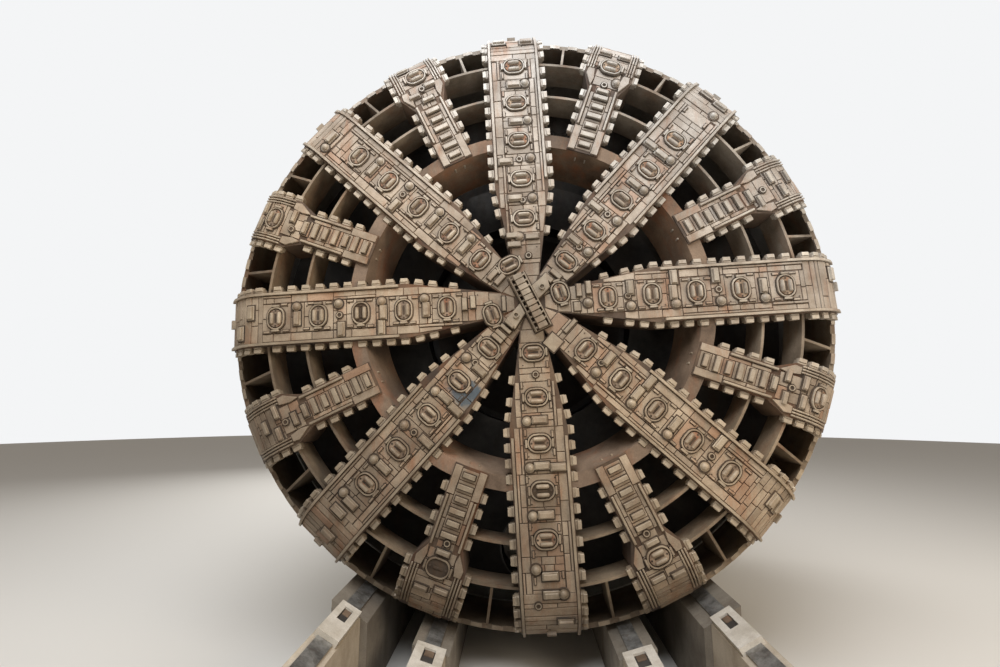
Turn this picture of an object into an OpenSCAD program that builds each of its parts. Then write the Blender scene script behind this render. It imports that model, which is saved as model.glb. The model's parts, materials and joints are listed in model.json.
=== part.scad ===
// Shield machine for soft ground: a spoked cutterhead, its shield and the cradle that carries it.
// Millimetres. Z is up, the floor is z = 0, and the machine drives towards -Y.
// Inside head_frame() X is right and Y up as seen from the front, and Z points out of the face.

/* [Place] */
// Clear height under the cutterhead
under_h = 1175; // [975:50:1575]
// How far the cradle reaches in front of the face
cradle_front = 3400; // [2600:100:4200]
// How far the cradle reaches behind the face
cradle_back = 17400; // [17100:100:18400]

/* [Cutterhead] */
// How far the cutterhead stands out past the shield
overcut = 50; // [20:5:80]
// How far the cutterhead stands turned at rest, in degrees
head_spin = 3.284; // [0:0.1:20]
// Radial length of the spokes' bent ends
bend_run = 1325; // [1225:25:1525]
// Distance of the rim's front edge behind the face
rim_front = 990; // [900:10:1100]
// Length of the rim along the axis
rim_len = 1650; // [1400:50:1680]
// Thickness of the rim's plate
rim_t = 130; // [80:10:180]

/* [Main spokes] */
// Width of a main spoke
spoke_w = 1530; // [1400:10:1600]
// Depth of a main spoke's box
spoke_depth = 1350; // [1250:10:1450]
// Radius at which a main spoke starts to narrow towards the hub
taper_r = 3400; // [3200:50:3600]
// Radius of the hub where two spokes' edges meet
hub_slot_r = 780; // [700:10:900]

/* [Short spokes] */
// Width of a short spoke's narrow part
short_w = 920; // [840:10:1000]
// Width of a short spoke's head
short_head_w = 1430; // [1300:10:1500]
// Length of a short spoke's flare
flare_len = 500; // [350:50:600]
// Length of its head from the flare to the bent end
head_len = 250; // [150:25:300]
// Depth of a short spoke's box
short_depth = 1100; // [900:50:1200]

/* [Rings between the spokes] */
// Outer radius of the box ring that carries the short spokes
box_r = 5030; // [4950:10:5150]
// Width of the box ring's front face
box_front_w = 380; // [280:10:480]
// Width of the box ring's back face
box_back_w = 690; // [600:10:780]
// Distance of the box ring behind the face
box_front = 60; // [40:10:100]
// Distance from the outer ring plate to the rim
web_run = 1205; // [1195:5:1295]
// Distance between the two ring plates
ring_step = 1050; // [950:10:1150]
// Distance of the ring plates behind the face
ring_front = 140; // [120:10:180]
// Thickness of the ring plates
ring_t = 70; // [50:5:100]
// Length of the ring plates along the axis
ring_len = 900; // [700:50:1000]
// Thickness of the webs between the outer ring plate and the rim
web_t = 70; // [50:5:100]

/* [Cutters] */
// Length of a cutter housing across the spoke
oval_l = 640; // [580:10:700]
// Width of a cutter housing along the spoke
oval_w = 490; // [440:10:520]
// How far a cutter housing stands out of the face
oval_h = 80; // [50:5:120]
// Thickness of a cutter housing's ring
oval_t = 55; // [40:5:70]
// Distance of the outermost cutter housing inside the bent end
oval_in = 230; // [200:10:300]
// Radius of the innermost cutter housing
oval_first_r = 1380; // [1300:10:1460]
// Diameter of the two hard bars in a cutter housing
bar_d = 110; // [90:5:130]
// Distance between the two bars
bar_gap = 200; // [190:5:240]
// How far the bars stand out of the housing's ring
bar_out = 60; // [30:5:80]
// Length of the centre bit
centre_l = 1640; // [1500:10:1700]
// Width of the centre bit
centre_w = 400; // [360:10:440]
// How far the centre bit stands out of the face
centre_h = 380; // [300:10:450]

/* [Edge bits] */
// Distance between two edge bits
bit_pitch = 398; // [380:1:420]
// Distance of the first edge bit from the end of the spoke's taper
bit_in = 55; // [30:5:100]
// Length of an edge bit along the spoke
bit_l = 250; // [200:5:280]
// How far an edge bit stands out of the spoke's side
bit_out = 165; // [120:5:190]
// Height of an edge bit along the axis
bit_h = 210; // [160:5:240]
// Depth of an edge bit's front below the face
bit_below = 35; // [20:5:60]

/* [Drive] */
// Depth of the bulkhead's front behind the face
bulkhead_d = 3600; // [3500:50:3700]
// Thickness of the bulkhead
bulkhead_t = 150; // [120:10:200]
// Outer radius of the drum that carries the cutterhead
drum_out = 4830; // [4780:10:4840]
// Inner radius of the drum
drum_in = 3370; // [3350:10:3450]
// Depth of the drum's front behind the face
drum_front = 2900; // [2800:50:3000]
// Length of the bearing housing behind the bulkhead's front
housing_len = 1900; // [1800:50:2000]
// Thickness of the bearing housing's walls
housing_t = 200; // [150:10:250]
// Gap between the drum and its housing
drum_gap = 20; // [15:1:40]
// Running gap at the drum's bearing and at the other seats
seat_gap = 0.3; // [0.2:0.1:0.5]
// Radius of the centre shaft
shaft_r = 400; // [350:10:450]
// Number of drive motors
motor_n = 24; // [20:1:26]
// Radius of a drive's gearbox
gearbox_r = 290; // [240:10:300]
// Length of a drive's gearbox
gearbox_len = 650; // [550:10:750]
// Radius of a drive's motor
motor_r = 230; // [200:10:240]
// Length of a drive's motor
motor_len = 800; // [600:10:900]

/* [Shield] */
// Outer radius of the front shield
shield_r = 8675; // [8640:5:8700]
// Step in radius from one shield to the next
shield_step = 15; // [10:1:20]
// Thickness of the shields' skins
skin_t = 100; // [80:5:120]
// Depth of the front shield's front edge behind the face
shield_front = 2700; // [2680:10:2750]
// Depth of the joint between the front and the middle shield
mid_front = 7000; // [6900:50:7100]
// Depth of the joint between the middle shield and the tail
tail_front = 11000; // [10900:50:11100]
// Depth of the tail's rear edge
tail_back = 15600; // [15400:50:15700]

/* [Thrust jacks] */
// Number of pairs of thrust jacks
jack_n = 28; // [28:4:28]
// Distance of the jacks' circle inside the skin
jack_in = 745; // [725:5:765]
// Radius of a jack's barrel
barrel_r = 200; // [180:5:210]
// Radius of a jack's rod
rod_r = 150; // [130:5:155]
// Distance between the two jacks of a pair
jack_gap = 520; // [500:10:560]
// Stroke of the jacks
jack_stroke = 2400; // [2300:50:2500]
// Length of a jack shoe along the axis
shoe_len = 300; // [200:10:350]
// Height of a jack shoe along the radius
shoe_h = 560; // [480:10:580]

/* [Screw conveyor] */
// Slope of the screw conveyor in degrees
screw_slope = 24; // [23:0.5:25]
// Height of the screw's axis at the bulkhead above the skin's inside
screw_up = 1275; // [1255:10:1325]
// Outer radius of the screw's tube
tube_r = 950; // [900:10:960]
// Wall of the screw's tube
tube_t = 50; // [40:5:60]
// Clearance between the flight and the tube
flight_gap = 30; // [20:5:40]
// Radius of the screw's shaft
auger_r = 260; // [220:10:300]
// Length of the screw's tube
tube_len = 13600; // [13400:100:13700]
// Pitch of the screw's flight
flight_pitch = 1360; // [1200:20:1500]

/* [Man locks] */
// Distance of a man lock from the middle
lock_x = 2600; // [2500:20:2700]
// Distance of the man locks' axis below the skin's inside
lock_in = 2575; // [2525:10:2625]
// Free space on either side of a man lock
lock_gap = 350; // [320:10:400]
// Length of a man lock
lock_len = 3000; // [2800:50:3100]
// Width of the wall round a man lock's doorway
door_wall = 430; // [400:10:470]

/* [Segment erector] */
// Distance of the turning ring inside the jack ring
erector_in = 1450; // [1400:10:1500]
// Height of the turning ring along the radius
erector_h = 350; // [300:10:400]
// Height of the fixed guide ring along the radius
guide_h = 250; // [200:10:260]
// Distance of each beam from the erector's middle
beam_x = 1500; // [1450:10:1550]
// Travel of the carriage along the beams
carriage_travel = 1300; // [1000:50:1400]
// Travel of the gripper along the radius
grip_travel = 750; // [600:10:760]

/* [Cradle] */
// Gap between the cutterhead and the cradle's front rails
rail_gap = 150; // [120:5:180]
// Width of a rail
rail_w = 380; // [340:10:420]
// Thickness of a front rail
rail_t = 60; // [50:5:70]
// Angle of the inner rails from the bottom
rail_in_a = 16; // [15:0.5:17]
// Angle of the outer rails from the bottom
rail_out_a = 30; // [29:0.5:31]
// Width of a cradle wall
wall_w = 900; // [800:10:1000]
// Where the newer front walls start, in front of the face
block_front = 350; // [300:10:400]
// Width of an inner front wall
front_in_w = 720; // [640:10:900]
// Width of an outer front wall
front_out_w = 540; // [500:10:900]
// Length of a saddle box on a front wall
box_len = 1500; // [1200:50:1800]
// How far a saddle box stands over the rail
box_h = 110; // [80:10:140]

/* [Hidden] */
$fn = 96;
big_fn = 360;      // facets of circles of several metres
over = 1;          // how far a cutting tool runs past a face
touch = 5;         // smallest clearance between pieces that move past each other

main_n = 8;        // number of main spokes, and of short ones
main_step = 360 / main_n;
short_a = main_step / 2;
face_y = (cradle_front - cradle_back) / 2;
skin_in = shield_r - skin_t;
head_r = shield_r + overcut;
axis_z = head_r + under_h;
flat_r = head_r - bend_run;
rim_back = rim_front + rim_len;
rim_in = head_r - rim_t;
// The bend runs from flat_r on the face to head_r at the rim's front edge, tangent to the face.
bend_x = head_r - flat_r;
bend_r = (bend_x * bend_x + rim_front * rim_front) / (2 * rim_front);
bend_a = asin(bend_x / bend_r);
bend_steps = 5;
end_past = 20;     // how far a spoke's outline runs past the rim before it is cut round
end_in = 10;       // how far inside the rim's outside a spoke is cut round
// Half the width of a main spoke at the hub's centre, so that two edges meet at hub_slot_r
slot_half = hub_slot_r * tan(main_step / 2);
taper = (spoke_w / 2 - slot_half) / (taper_r - hub_slot_r);
root_half = slot_half - taper * hub_slot_r;
boss_r = 1000;     // plate behind the hub that the centre shaft is bolted to
boss_t = 60;

box_front_in = box_r - box_front_w;
box_back_in = box_r - box_back_w;
ring_a_r = rim_in - web_run;
ring_b_r = ring_a_r - ring_step;
flare_end_r = flat_r - head_len;
flare_r = flare_end_r - flare_len;
bit_r = taper_r + bit_in;
short_bit_r = box_r + 270;
// As many bits as fit beside a short spoke before it flares
short_bits = floor((flare_r - bit_l / 2 - short_bit_r) / bit_pitch);
head_bit_r = flat_r - 100;
ladder_r = box_r - 40;
ladder_pitch = 308;
ladder_n = floor((flat_r - ladder_r) / ladder_pitch) + 1;
ladder_w = 500;
ladder_l = 120;
ladder_h = 90;

// Cutter housings: how many steps each main spoke's row is set inwards, from the right-hand spoke
row_order = [2, 6, 0, 4, 1, 5, 7, 3];
ovals_per_spoke = 5;
oval_r = flat_r - oval_in;
oval_pitch = (oval_r - oval_first_r) / (ovals_per_spoke - 1 / main_n);
row_step = oval_pitch / main_n;
head_oval_r = flat_r - 180;
// Cutter housings on the hub: radius, angle
hub_ovals = [[1193, 114.4], [868, 14.1], [1077, 195.5]];
// Raised plates on the hub, as corners
hub_plates = [
    [[488, 763], [568, 368], [232, 55], [77, 439]],
    [[-269, -36], [-143, -315], [-458, -735], [-694, -475]]
];
hub_plate_h = 150;
mixer_r = 150;
mixer_len = 950;
mixer_in_r = 2300;
mixer_out_r = flat_r - 500;
leg_w = 900;
leg_foot = 900;    // width of a leg's foot on the drum, along the radius
shaft_flange_t = 440;
hub_out = 100;
web_end = 250;     // how far a web's end stays in front of the rim's back

deck_t = 150;
deck_len = 2450;
deck_low = 4300;   // height of the lowest deck over the screw's front end
deck_mid = 400;    // from the machine's axis down to the middle deck
deck_high = 4975;  // from the skin down to the highest deck
deck_rail_h = 1100;
tow_x = 3800;
tow_t = 80;
tow_w = 300;
tow_h = 320;
tow_hole_r = 60;

flange_t = 70;
flange_out = 90;
chute_w = 1000;
chute_l = 1100;
chute_drop = 1350;  // from the tube's axis to the chute's mouth
gate_z = tube_len - 1100;
gate_w = 1180;
gate_t = 60;
gate_travel = 1000;
gate_run = chute_l + 2 * tube_t + gate_travel;
auger_out = 500;

housing_back = bulkhead_d + housing_len;
pocket_out = drum_out + drum_gap;
pocket_in = drum_in - drum_gap;
housing_out = pocket_out + housing_t;
housing_in = pocket_in - housing_t;
jack_ring_h = 1125;
jack_ring_in = skin_in - jack_ring_h;
jack_pcd_r = skin_in - jack_in;
motor_pcd_r = (drum_out + drum_in) / 2;
screw_drop = skin_in - screw_up;
erector_r = jack_ring_in - erector_in;
guide_r = erector_r - erector_h;
guide_in = guide_r - guide_h;

lock_y = skin_in - lock_in;
lock_r = (jack_ring_in - housing_out) / 2 - lock_gap;
door_r = lock_r - door_wall;
lock_t = 60;
lock_back = bulkhead_d + bulkhead_t + lock_len;
door_t = 60;
hinge_x = door_r + 170;    // from the door's middle to its hinge pin
hinge_d = 90;      // from the lock's end to the hinge pin
pin_r = 30;

// Places the children's frame on the machine's axis at the face
module head_frame() {
    translate([0, face_y, axis_z]) rotate([90, 0, 0]) children();
}

// The same, turned as the cutterhead stands at rest
module cutter_frame() {
    head_frame() rotate([0, 0, head_spin]) children();
}

// Copies round the axis
module copies(n, first = 0) {
    for (i = [0 : n - 1]) rotate([0, 0, first + 360 / n * i]) children();
}

// A solid disc between two depths behind the face
module disc(r, d0, d1) {
    translate([0, 0, -d1]) cylinder(r = r, h = d1 - d0, $fn = r > 1500 ? big_fn : $fn);
}

// A ring between two depths behind the face
module ring(r_in, r_out, d0, d1) {
    difference() {
        disc(r_out, d0, d1);
        disc(r_in, d0 - over, d1 + over);
    }
}

// A block along the radius: from r0 to r1, width w, between two depths
module bar_block(r0, r1, w, d0, d1) {
    translate([r0, -w / 2, -d1]) cube([r1 - r0, w, d1 - d0]);
}

// Side view of a spoke, radius against depth: flat face, bent end, and the box's back
module spoke_profile(r0, r1, depth) {
    arc = [for (i = [0 : bend_steps]) let (a = bend_a * i / bend_steps)
        [flat_r + bend_r * sin(a), -bend_r * (1 - cos(a))]];
    polygon(concat([[r0, 0]], arc, [
        [r1 + end_past, -rim_front - end_past * tan(bend_a)], [r1 + end_past, -depth], [r0, -depth]
    ]));
}

// Front view of a main spoke
module main_plan() {
    polygon([
        [0, -root_half], [taper_r, -spoke_w / 2], [head_r + end_past, -spoke_w / 2],
        [head_r + end_past, spoke_w / 2], [taper_r, spoke_w / 2], [0, root_half]
    ]);
}

// Front view of a short spoke
module short_plan(r0) {
    polygon([
        [r0, -short_w / 2], [flare_r, -short_w / 2], [flare_end_r, -short_head_w / 2],
        [head_r + end_past, -short_head_w / 2], [head_r + end_past, short_head_w / 2],
        [flare_end_r, short_head_w / 2],
        [flare_r, short_w / 2], [r0, short_w / 2]
    ]);
}

// A spoke as the part that its front and side views share
module main_spoke_shape() {
    intersection() {
        translate([0, 0, -spoke_depth]) linear_extrude(spoke_depth) main_plan();
        translate([0, spoke_w / 2, 0]) rotate([90, 0, 0]) linear_extrude(spoke_w)
            spoke_profile(0, head_r, spoke_depth);
        disc(head_r - end_in, -over, spoke_depth + over);
    }
}

module short_spoke_shape() {
    intersection() {
        translate([0, 0, -short_depth]) linear_extrude(short_depth) short_plan(box_front_in);
        translate([0, short_head_w / 2, 0]) rotate([90, 0, 0]) linear_extrude(short_head_w)
            spoke_profile(box_front_in, head_r, short_depth);
        disc(head_r - end_in, -over, short_depth + over);
    }
}

module rim_shape() {
    ring(rim_in, head_r, rim_front, rim_back);
}

module box_ring_shape() {
    rotate_extrude($fn = big_fn) polygon([
        [box_front_in, -box_front], [box_r, -box_front],
        [box_r, -spoke_depth], [box_back_in, -spoke_depth]
    ]);
}

module main_cut() {
    copies(main_n) translate([0, 0, -spoke_depth - over])
        linear_extrude(spoke_depth + 2 * over) main_plan();
}

module short_cut() {
    copies(main_n, short_a) translate([0, 0, -short_depth])
        linear_extrude(short_depth + over) short_plan(box_r);
}

// Room for the rim at a spoke's end
module rim_seat() {
    ring(rim_in - seat_gap, head_r + end_past, rim_front, rim_back);
}

module main_spokes() {
    color("tan") cutter_frame() difference() {
        union() {
            copies(main_n) main_spoke_shape();
            disc(boss_r, spoke_depth - 100, spoke_depth + boss_t);
        }
        rim_seat();
    }
}

module short_spokes() {
    color("tan") cutter_frame() difference() {
        copies(main_n, short_a) short_spoke_shape();
        rim_seat();
        disc(box_r + seat_gap, box_front, spoke_depth);
    }
}

module rim() {
    color("rosybrown") cutter_frame() rim_shape();
}

module ring_plates() {
    color("peru") cutter_frame() difference() {
        union() {
            ring(ring_a_r - ring_t, ring_a_r, ring_front, ring_front + ring_len);
            ring(ring_b_r - ring_t, ring_b_r, ring_front, ring_front + ring_len);
        }
        main_cut();
        short_cut();
        edge_bit_rows();
        short_bit_rows();
    }
}

// One web in each gap, sloping back from the outer ring plate to the rim
module ring_webs() {
    web_back = ring_front + ring_len;
    color("peru") cutter_frame() difference() {
        copies(2 * main_n, short_a / 2) translate([0, web_t / 2, 0]) rotate([90, 0, 0])
            linear_extrude(web_t) polygon([
                [ring_a_r - ring_t / 2, -ring_front], [rim_in + rim_t / 2, -rim_front],
                [rim_in + rim_t / 2, -rim_back + web_end], [ring_a_r - ring_t / 2, -web_back]
            ]);
        ring(rim_in - seat_gap, head_r, 0, rim_back + over);
        disc(ring_a_r + seat_gap, 0, web_back + over);
    }
}

module box_ring() {
    color("sienna") cutter_frame() difference() {
        box_ring_shape();
        main_cut();
        edge_bit_rows();
    }
}

// An oval plate standing out of the face, its long side across the spoke
module oval(l, w, z0, z1) {
    translate([0, 0, z0]) linear_extrude(z1 - z0) union() {
        square([w, l - w], center = true);
        for (s = [-1, 1]) translate([0, s * (l - w) / 2]) circle(d = w);
    }
}

module cutter_housing() {
    difference() {
        oval(oval_l, oval_w, 0, oval_h);
        oval(oval_l - 2 * oval_t, oval_w - 2 * oval_t, 20, oval_h + over);
    }
    for (s = [-1, 1]) translate([s * bar_gap / 2, 0, 20])
        translate([-bar_d / 2, -(oval_l - 2 * oval_t) / 2 + 40, 0])
            cube([bar_d, oval_l - 2 * oval_t - 80, oval_h - 20 + bar_out]);
}

module cutter_housings() {
    color("darkgoldenrod") cutter_frame() for (k = [0 : main_n - 1]) rotate([0, 0, k * main_step])
        for (i = [0 : ovals_per_spoke - 1])
            translate([oval_r - row_step * row_order[k] - oval_pitch * i, 0, 0]) cutter_housing();
    color("darkgoldenrod") cutter_frame() {
        copies(main_n, short_a) translate([head_oval_r, 0, 0]) cutter_housing();
        for (p = hub_ovals) rotate([0, 0, p[1]]) translate([p[0], 0, 0]) cutter_housing();
    }
}

module edge_bit() {
    translate([-bit_l / 2, 0, -bit_below - bit_h]) cube([bit_l, bit_out, bit_h]);
}

module edge_bit_rows() {
    bits = floor((flat_r - bit_r) / bit_pitch);
    copies(main_n) for (s = [0, 1]) mirror([0, s, 0])
        for (i = [0 : bits]) translate([bit_r + i * bit_pitch, spoke_w / 2, 0]) edge_bit();
}

module short_bit_rows() {
    copies(main_n, short_a) for (s = [0, 1]) mirror([0, s, 0]) {
        for (i = [0 : 1 : short_bits]) translate([short_bit_r + i * bit_pitch, short_w / 2, 0]) edge_bit();
        translate([head_bit_r, short_head_w / 2, 0]) edge_bit();
    }
}

module edge_bits() {
    color("wheat") cutter_frame() edge_bit_rows();
}

// Short spokes: a ladder of cross bars, and bits along the edges
module short_spoke_bits() {
    color("wheat") cutter_frame() {
        copies(main_n, short_a) for (i = [0 : ladder_n - 1])
            if (abs(ladder_r + i * ladder_pitch - head_oval_r) > (oval_w + ladder_l) / 2)
                translate([ladder_r + i * ladder_pitch - ladder_l / 2, -ladder_w / 2, 0])
                    cube([ladder_l, ladder_w, ladder_h]);
        short_bit_rows();
    }
}

// Round buttons and blocks between the cutter housings, and the hub's raised plates
module face_blocks() {
    dome = [20, -290, 240];      // along and across from the middle between two housings, diameter
    pad = [-85, -130, 170, 380]; // along, across, length, width
    pad_h = 100;
    color("burlywood") cutter_frame() for (k = [0 : main_n - 1]) rotate([0, 0, k * main_step])
        for (i = [0 : ovals_per_spoke - 2])
            translate([oval_r - row_step * row_order[k] - oval_pitch * (i + 0.5), 0, 0]) {
                translate([dome[0], dome[1], 0]) cylinder(d = dome[2], h = pad_h, $fn = 32);
                translate([pad[0], pad[1], 0]) cube([pad[2], pad[3], pad_h]);
            }
    color("burlywood") cutter_frame() for (p = hub_plates) linear_extrude(hub_plate_h) polygon(p);
}

// Raised rails along both edges of the main spokes
module edge_rails() {
    bar_w = 60;
    from_edge = 65;
    start_r = taper_r + 200;
    color("tan") cutter_frame() copies(main_n) for (s = [-1, 1])
        translate([start_r, s * (spoke_w / 2 - from_edge) - bar_w / 2, 0])
            cube([flat_r - start_r, bar_w, 70]);
}

// The stepped bit in the middle, in line with two short spokes
module centre_bit() {
    steps = 10;
    step_l = 120;
    step_w = 220;
    step_h = 120;
    arch = 8;        // how much lower each step is than the next one towards the middle
    slot_w = 50;
    slot_in = 15;    // wall between a slot and the bit's side
    end_wall = 60;
    color("linen") cutter_frame() rotate([0, 0, -3 * short_a]) {
        difference() {
            translate([-centre_l / 2, -centre_w / 2, 0]) cube([centre_l, centre_w, centre_h - step_h]);
            for (s = [-1, 1])
                translate([-centre_l / 2 + end_wall, s * (centre_w / 2 - slot_in - slot_w / 2) - slot_w / 2, 60])
                    cube([centre_l - 2 * end_wall, slot_w, centre_h]);
        }
        for (i = [0 : steps - 1])
            translate([-centre_l / 2 + (i + 0.5) * centre_l / steps - step_l / 2, -step_w / 2, centre_h - step_h])
                cube([step_l, step_w, step_h - arch * abs(i - (steps - 1) / 2)]);
    }
}

// Wear blocks on the rim's front edge
module rim_bits() {
    n = 96;
    color("wheat") cutter_frame() difference() {
        copies(n, 360 / n / 2) translate([rim_in, -150, -rim_front]) cube([rim_t - 25, 300, 60]);
        main_cut();
        copies(main_n, short_a) translate([0, 0, -spoke_depth])
            linear_extrude(spoke_depth + over) short_plan(box_r);
    }
}

// Legs that carry the spokes and the box ring on the drum
module support_legs() {
    color("saddlebrown") cutter_frame() copies(main_n) translate([0, leg_w / 2, 0])
        rotate([90, 0, 0]) linear_extrude(leg_w) polygon([
            [box_back_in, -spoke_depth], [box_r, -spoke_depth],
            [drum_out, seat_gap - drum_front], [drum_out - leg_foot, seat_gap - drum_front]
        ]);
}

module drive_drum() {
    land_d = housing_back - housing_t - drum_gap;
    race_l = 400;
    race_in = 100;   // from the drum's end to the race
    color("gray") cutter_frame() {
        ring(drum_in, drum_out, drum_front, land_d);
        // Bearing race, the one place where the drum is a close fit in its housing
        ring(drum_out, pocket_out - seat_gap, land_d - race_in - race_l, land_d - race_in);
    }
}

// The shaft ends behind the housing in a rotary joint for grease and foam
module centre_shaft() {
    shaft_out = 600;
    joint_w = 250;
    joint_in = 100;
    color("dimgray") cutter_frame() {
        disc(boss_r + hub_out, spoke_depth + boss_t, spoke_depth + boss_t + shaft_flange_t);
        disc(shaft_r, spoke_depth + boss_t + shaft_flange_t, housing_back + shaft_out);
        ring(shaft_r, shaft_r + joint_w, housing_back + joint_in, housing_back + shaft_out - joint_in);
    }
}

module mixing_bars() {
    color("saddlebrown") cutter_frame() copies(main_n / 2) for (r = [mixer_in_r, mixer_out_r])
        translate([r, 0, 0]) disc(mixer_r, spoke_depth + seat_gap, spoke_depth + mixer_len);
}

module front_shield() {
    color("lightgray") head_frame() ring(skin_in, shield_r, shield_front, mid_front);
}

module middle_shield() {
    color("lightgray") head_frame()
        ring(skin_in, shield_r - shield_step, mid_front, tail_front);
}

module tail_skin() {
    color("lightgray") head_frame()
        ring(skin_in, shield_r - 2 * shield_step, tail_front, tail_back);
}

// Rows of wire brushes that seal the tail against the lining
module tail_brushes() {
    brush_h = 230;
    seat_r = skin_in - seat_gap;
    color("dimgray") head_frame() for (d = [tail_back - 1150, tail_back - 650, tail_back - 150])
        rotate_extrude($fn = big_fn) polygon([
            [seat_r, -d + 250], [seat_r, -d], [seat_r - brush_h, -d - 100],
            [seat_r - brush_h, -d - 60], [seat_r - 60, -d + 250]
        ]);
}

// The screw conveyor's frame: Z along the tube towards the rear, Y downwards
module screw_frame() {
    head_frame() translate([0, -screw_drop, -bulkhead_d]) rotate([180 + screw_slope, 0, 0]) children();
}

// The tube's outside as a cutting tool
module screw_bore() {
    screw_frame() translate([0, 0, -1500]) cylinder(r = tube_r + seat_gap, h = tube_len + 1500);
}

module bulkhead() {
    color("slategray") difference() {
        head_frame() difference() {
            union() {
                ring(housing_out + seat_gap, skin_in - seat_gap, bulkhead_d, bulkhead_d + bulkhead_t);
                ring(shaft_r + seat_gap, housing_in - seat_gap, bulkhead_d, bulkhead_d + bulkhead_t);
                copies(16, 11.25) bar_block(housing_out + 300, skin_in - 60, 60,
                    bulkhead_d + bulkhead_t, bulkhead_d + bulkhead_t + 500);
            }
            for (s = [-1, 1]) translate([s * lock_x, lock_y, 0]) {
                disc(door_r, bulkhead_d - over, bulkhead_d + bulkhead_t + over);
                disc(lock_r, bulkhead_d + bulkhead_t, bulkhead_d + 1000);
            }
        }
        screw_bore();
    }
}

// Two rings bolted to one back plate
module bearing_housing() {
    ring_end = housing_back - housing_t - seat_gap;
    color("slategray") head_frame() {
        ring(pocket_out, housing_out, bulkhead_d, ring_end);
        ring(housing_in, pocket_in, bulkhead_d, ring_end);
        ring(housing_in, housing_out, housing_back - housing_t, housing_back);
    }
}

module drive_motors() {
    color("steelblue") head_frame() copies(motor_n, 180 / motor_n)
        translate([motor_pcd_r, 0, 0]) {
            disc(gearbox_r, housing_back + seat_gap, housing_back + gearbox_len);
            disc(motor_r, housing_back + gearbox_len, housing_back + gearbox_len + motor_len);
        }
}

pair_step = 360 / jack_n;
jack_ring_t = 150;
jack_front = mid_front + jack_ring_t;
jack_end_t = 200;      // thickness of a barrel's closed end
piston_gap = 100;      // from the closed end to the drawn-in rod
guide_run = 750;       // length of rod left in the barrel when it is out
barrel_len = jack_end_t + piston_gap + jack_stroke + guide_run;
shoe_gap = 100;        // from the barrel's mouth to the drawn-in shoe
shoe_w = 1200;

// Places children at each jack of each pair from first to last
module at_jacks(first, last) {
    for (i = [first : last]) rotate([0, 0, (i + 0.5) * pair_step])
        for (s = [-1, 1]) translate([jack_pcd_r, s * jack_gap / 2, 0]) children();
}

rear_plate = 10000;
rear_plate_t = 300;

module jack_ring_front() {
    color("gainsboro") head_frame()
        ring(jack_ring_in, skin_in - seat_gap, mid_front, jack_front);
}

module jack_ring_rear() {
    color("gainsboro") difference() {
        head_frame() difference() {
            ring(guide_in, skin_in - seat_gap, rear_plate, rear_plate + rear_plate_t);
            at_jacks(0, jack_n - 1)
                disc(barrel_r + seat_gap, rear_plate - over, rear_plate + rear_plate_t + over);
        }
        screw_bore();
    }
}

module jack_barrels() {
    color("steelblue") head_frame() difference() {
        at_jacks(0, jack_n - 1) disc(barrel_r, jack_front + seat_gap, jack_front + barrel_len);
        at_jacks(0, jack_n - 1) disc(rod_r + seat_gap, jack_front + jack_end_t,
            jack_front + barrel_len + over);
    }
}

// Rods and shoes of one group of jack pairs
module jack_group(first, last) {
    rod_front = jack_front + jack_end_t + piston_gap;
    shoe_front = jack_front + barrel_len + shoe_gap;
    color("silver") head_frame() {
        at_jacks(first, last) disc(rod_r, rod_front, shoe_front);
        for (i = [first : last]) rotate([0, 0, (i + 0.5) * pair_step])
            bar_block(jack_pcd_r - shoe_h / 2, jack_pcd_r + shoe_h / 2, shoe_w,
                shoe_front, shoe_front + shoe_len);
    }
}

group_n = jack_n / 4;
module jacks_top() { jack_group(round(jack_n / 8), round(jack_n / 8) + group_n - 1); }
module jacks_left() { jack_group(round(jack_n * 3 / 8), round(jack_n * 3 / 8) + group_n - 1); }
module jacks_bottom() { jack_group(round(jack_n * 5 / 8), round(jack_n * 5 / 8) + group_n - 1); }
module jacks_right() { jack_group(round(jack_n * 7 / 8), round(jack_n * 7 / 8) + group_n - 1); }

module screw_tube() {
    color("steelblue") difference() {
        screw_frame() difference() {
            union() {
                translate([0, 0, -600]) cylinder(r = tube_r, h = tube_len + 600);
                for (z = [tube_len / 3, tube_len * 2 / 3, tube_len - flange_t])
                    translate([0, 0, z]) cylinder(r = tube_r + flange_out, h = flange_t);
                translate([-chute_w / 2 - tube_t, 0, gate_z - chute_l / 2 - tube_t])
                    cube([chute_w + 2 * tube_t, chute_drop, chute_l + 2 * tube_t]);
                for (s = [0, 1]) mirror([s, 0, 0]) gate_guide();
            }
            translate([0, 0, -600 - over]) cylinder(r = tube_r - tube_t, h = tube_len + 600 + 2 * over);
            translate([-chute_w / 2, 0, gate_z - chute_l / 2]) cube([chute_w, chute_drop + over, chute_l]);
        }
        head_frame() translate([-2 * tube_r, -screw_drop - 2 * tube_r, -bulkhead_d])
            cube([4 * tube_r, 4 * tube_r, 2 * tube_r]);
    }
}

// Channel that the gate slides in, on the right-hand side of the chute
module gate_guide() {
    y = chute_drop - 100;
    z = gate_z - chute_l / 2 - tube_t;
    translate([gate_w / 2 + touch, y, z]) cube([60, 100 + touch + gate_t + seat_gap + 60, gate_run]);
    translate([gate_w / 2 - 60, chute_drop + touch + gate_t + seat_gap, z]) cube([70 + touch, 60, gate_run]);
    translate([chute_w / 2, y, z]) cube([gate_w / 2 + touch - chute_w / 2 + over, 60, gate_run]);
}

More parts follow.
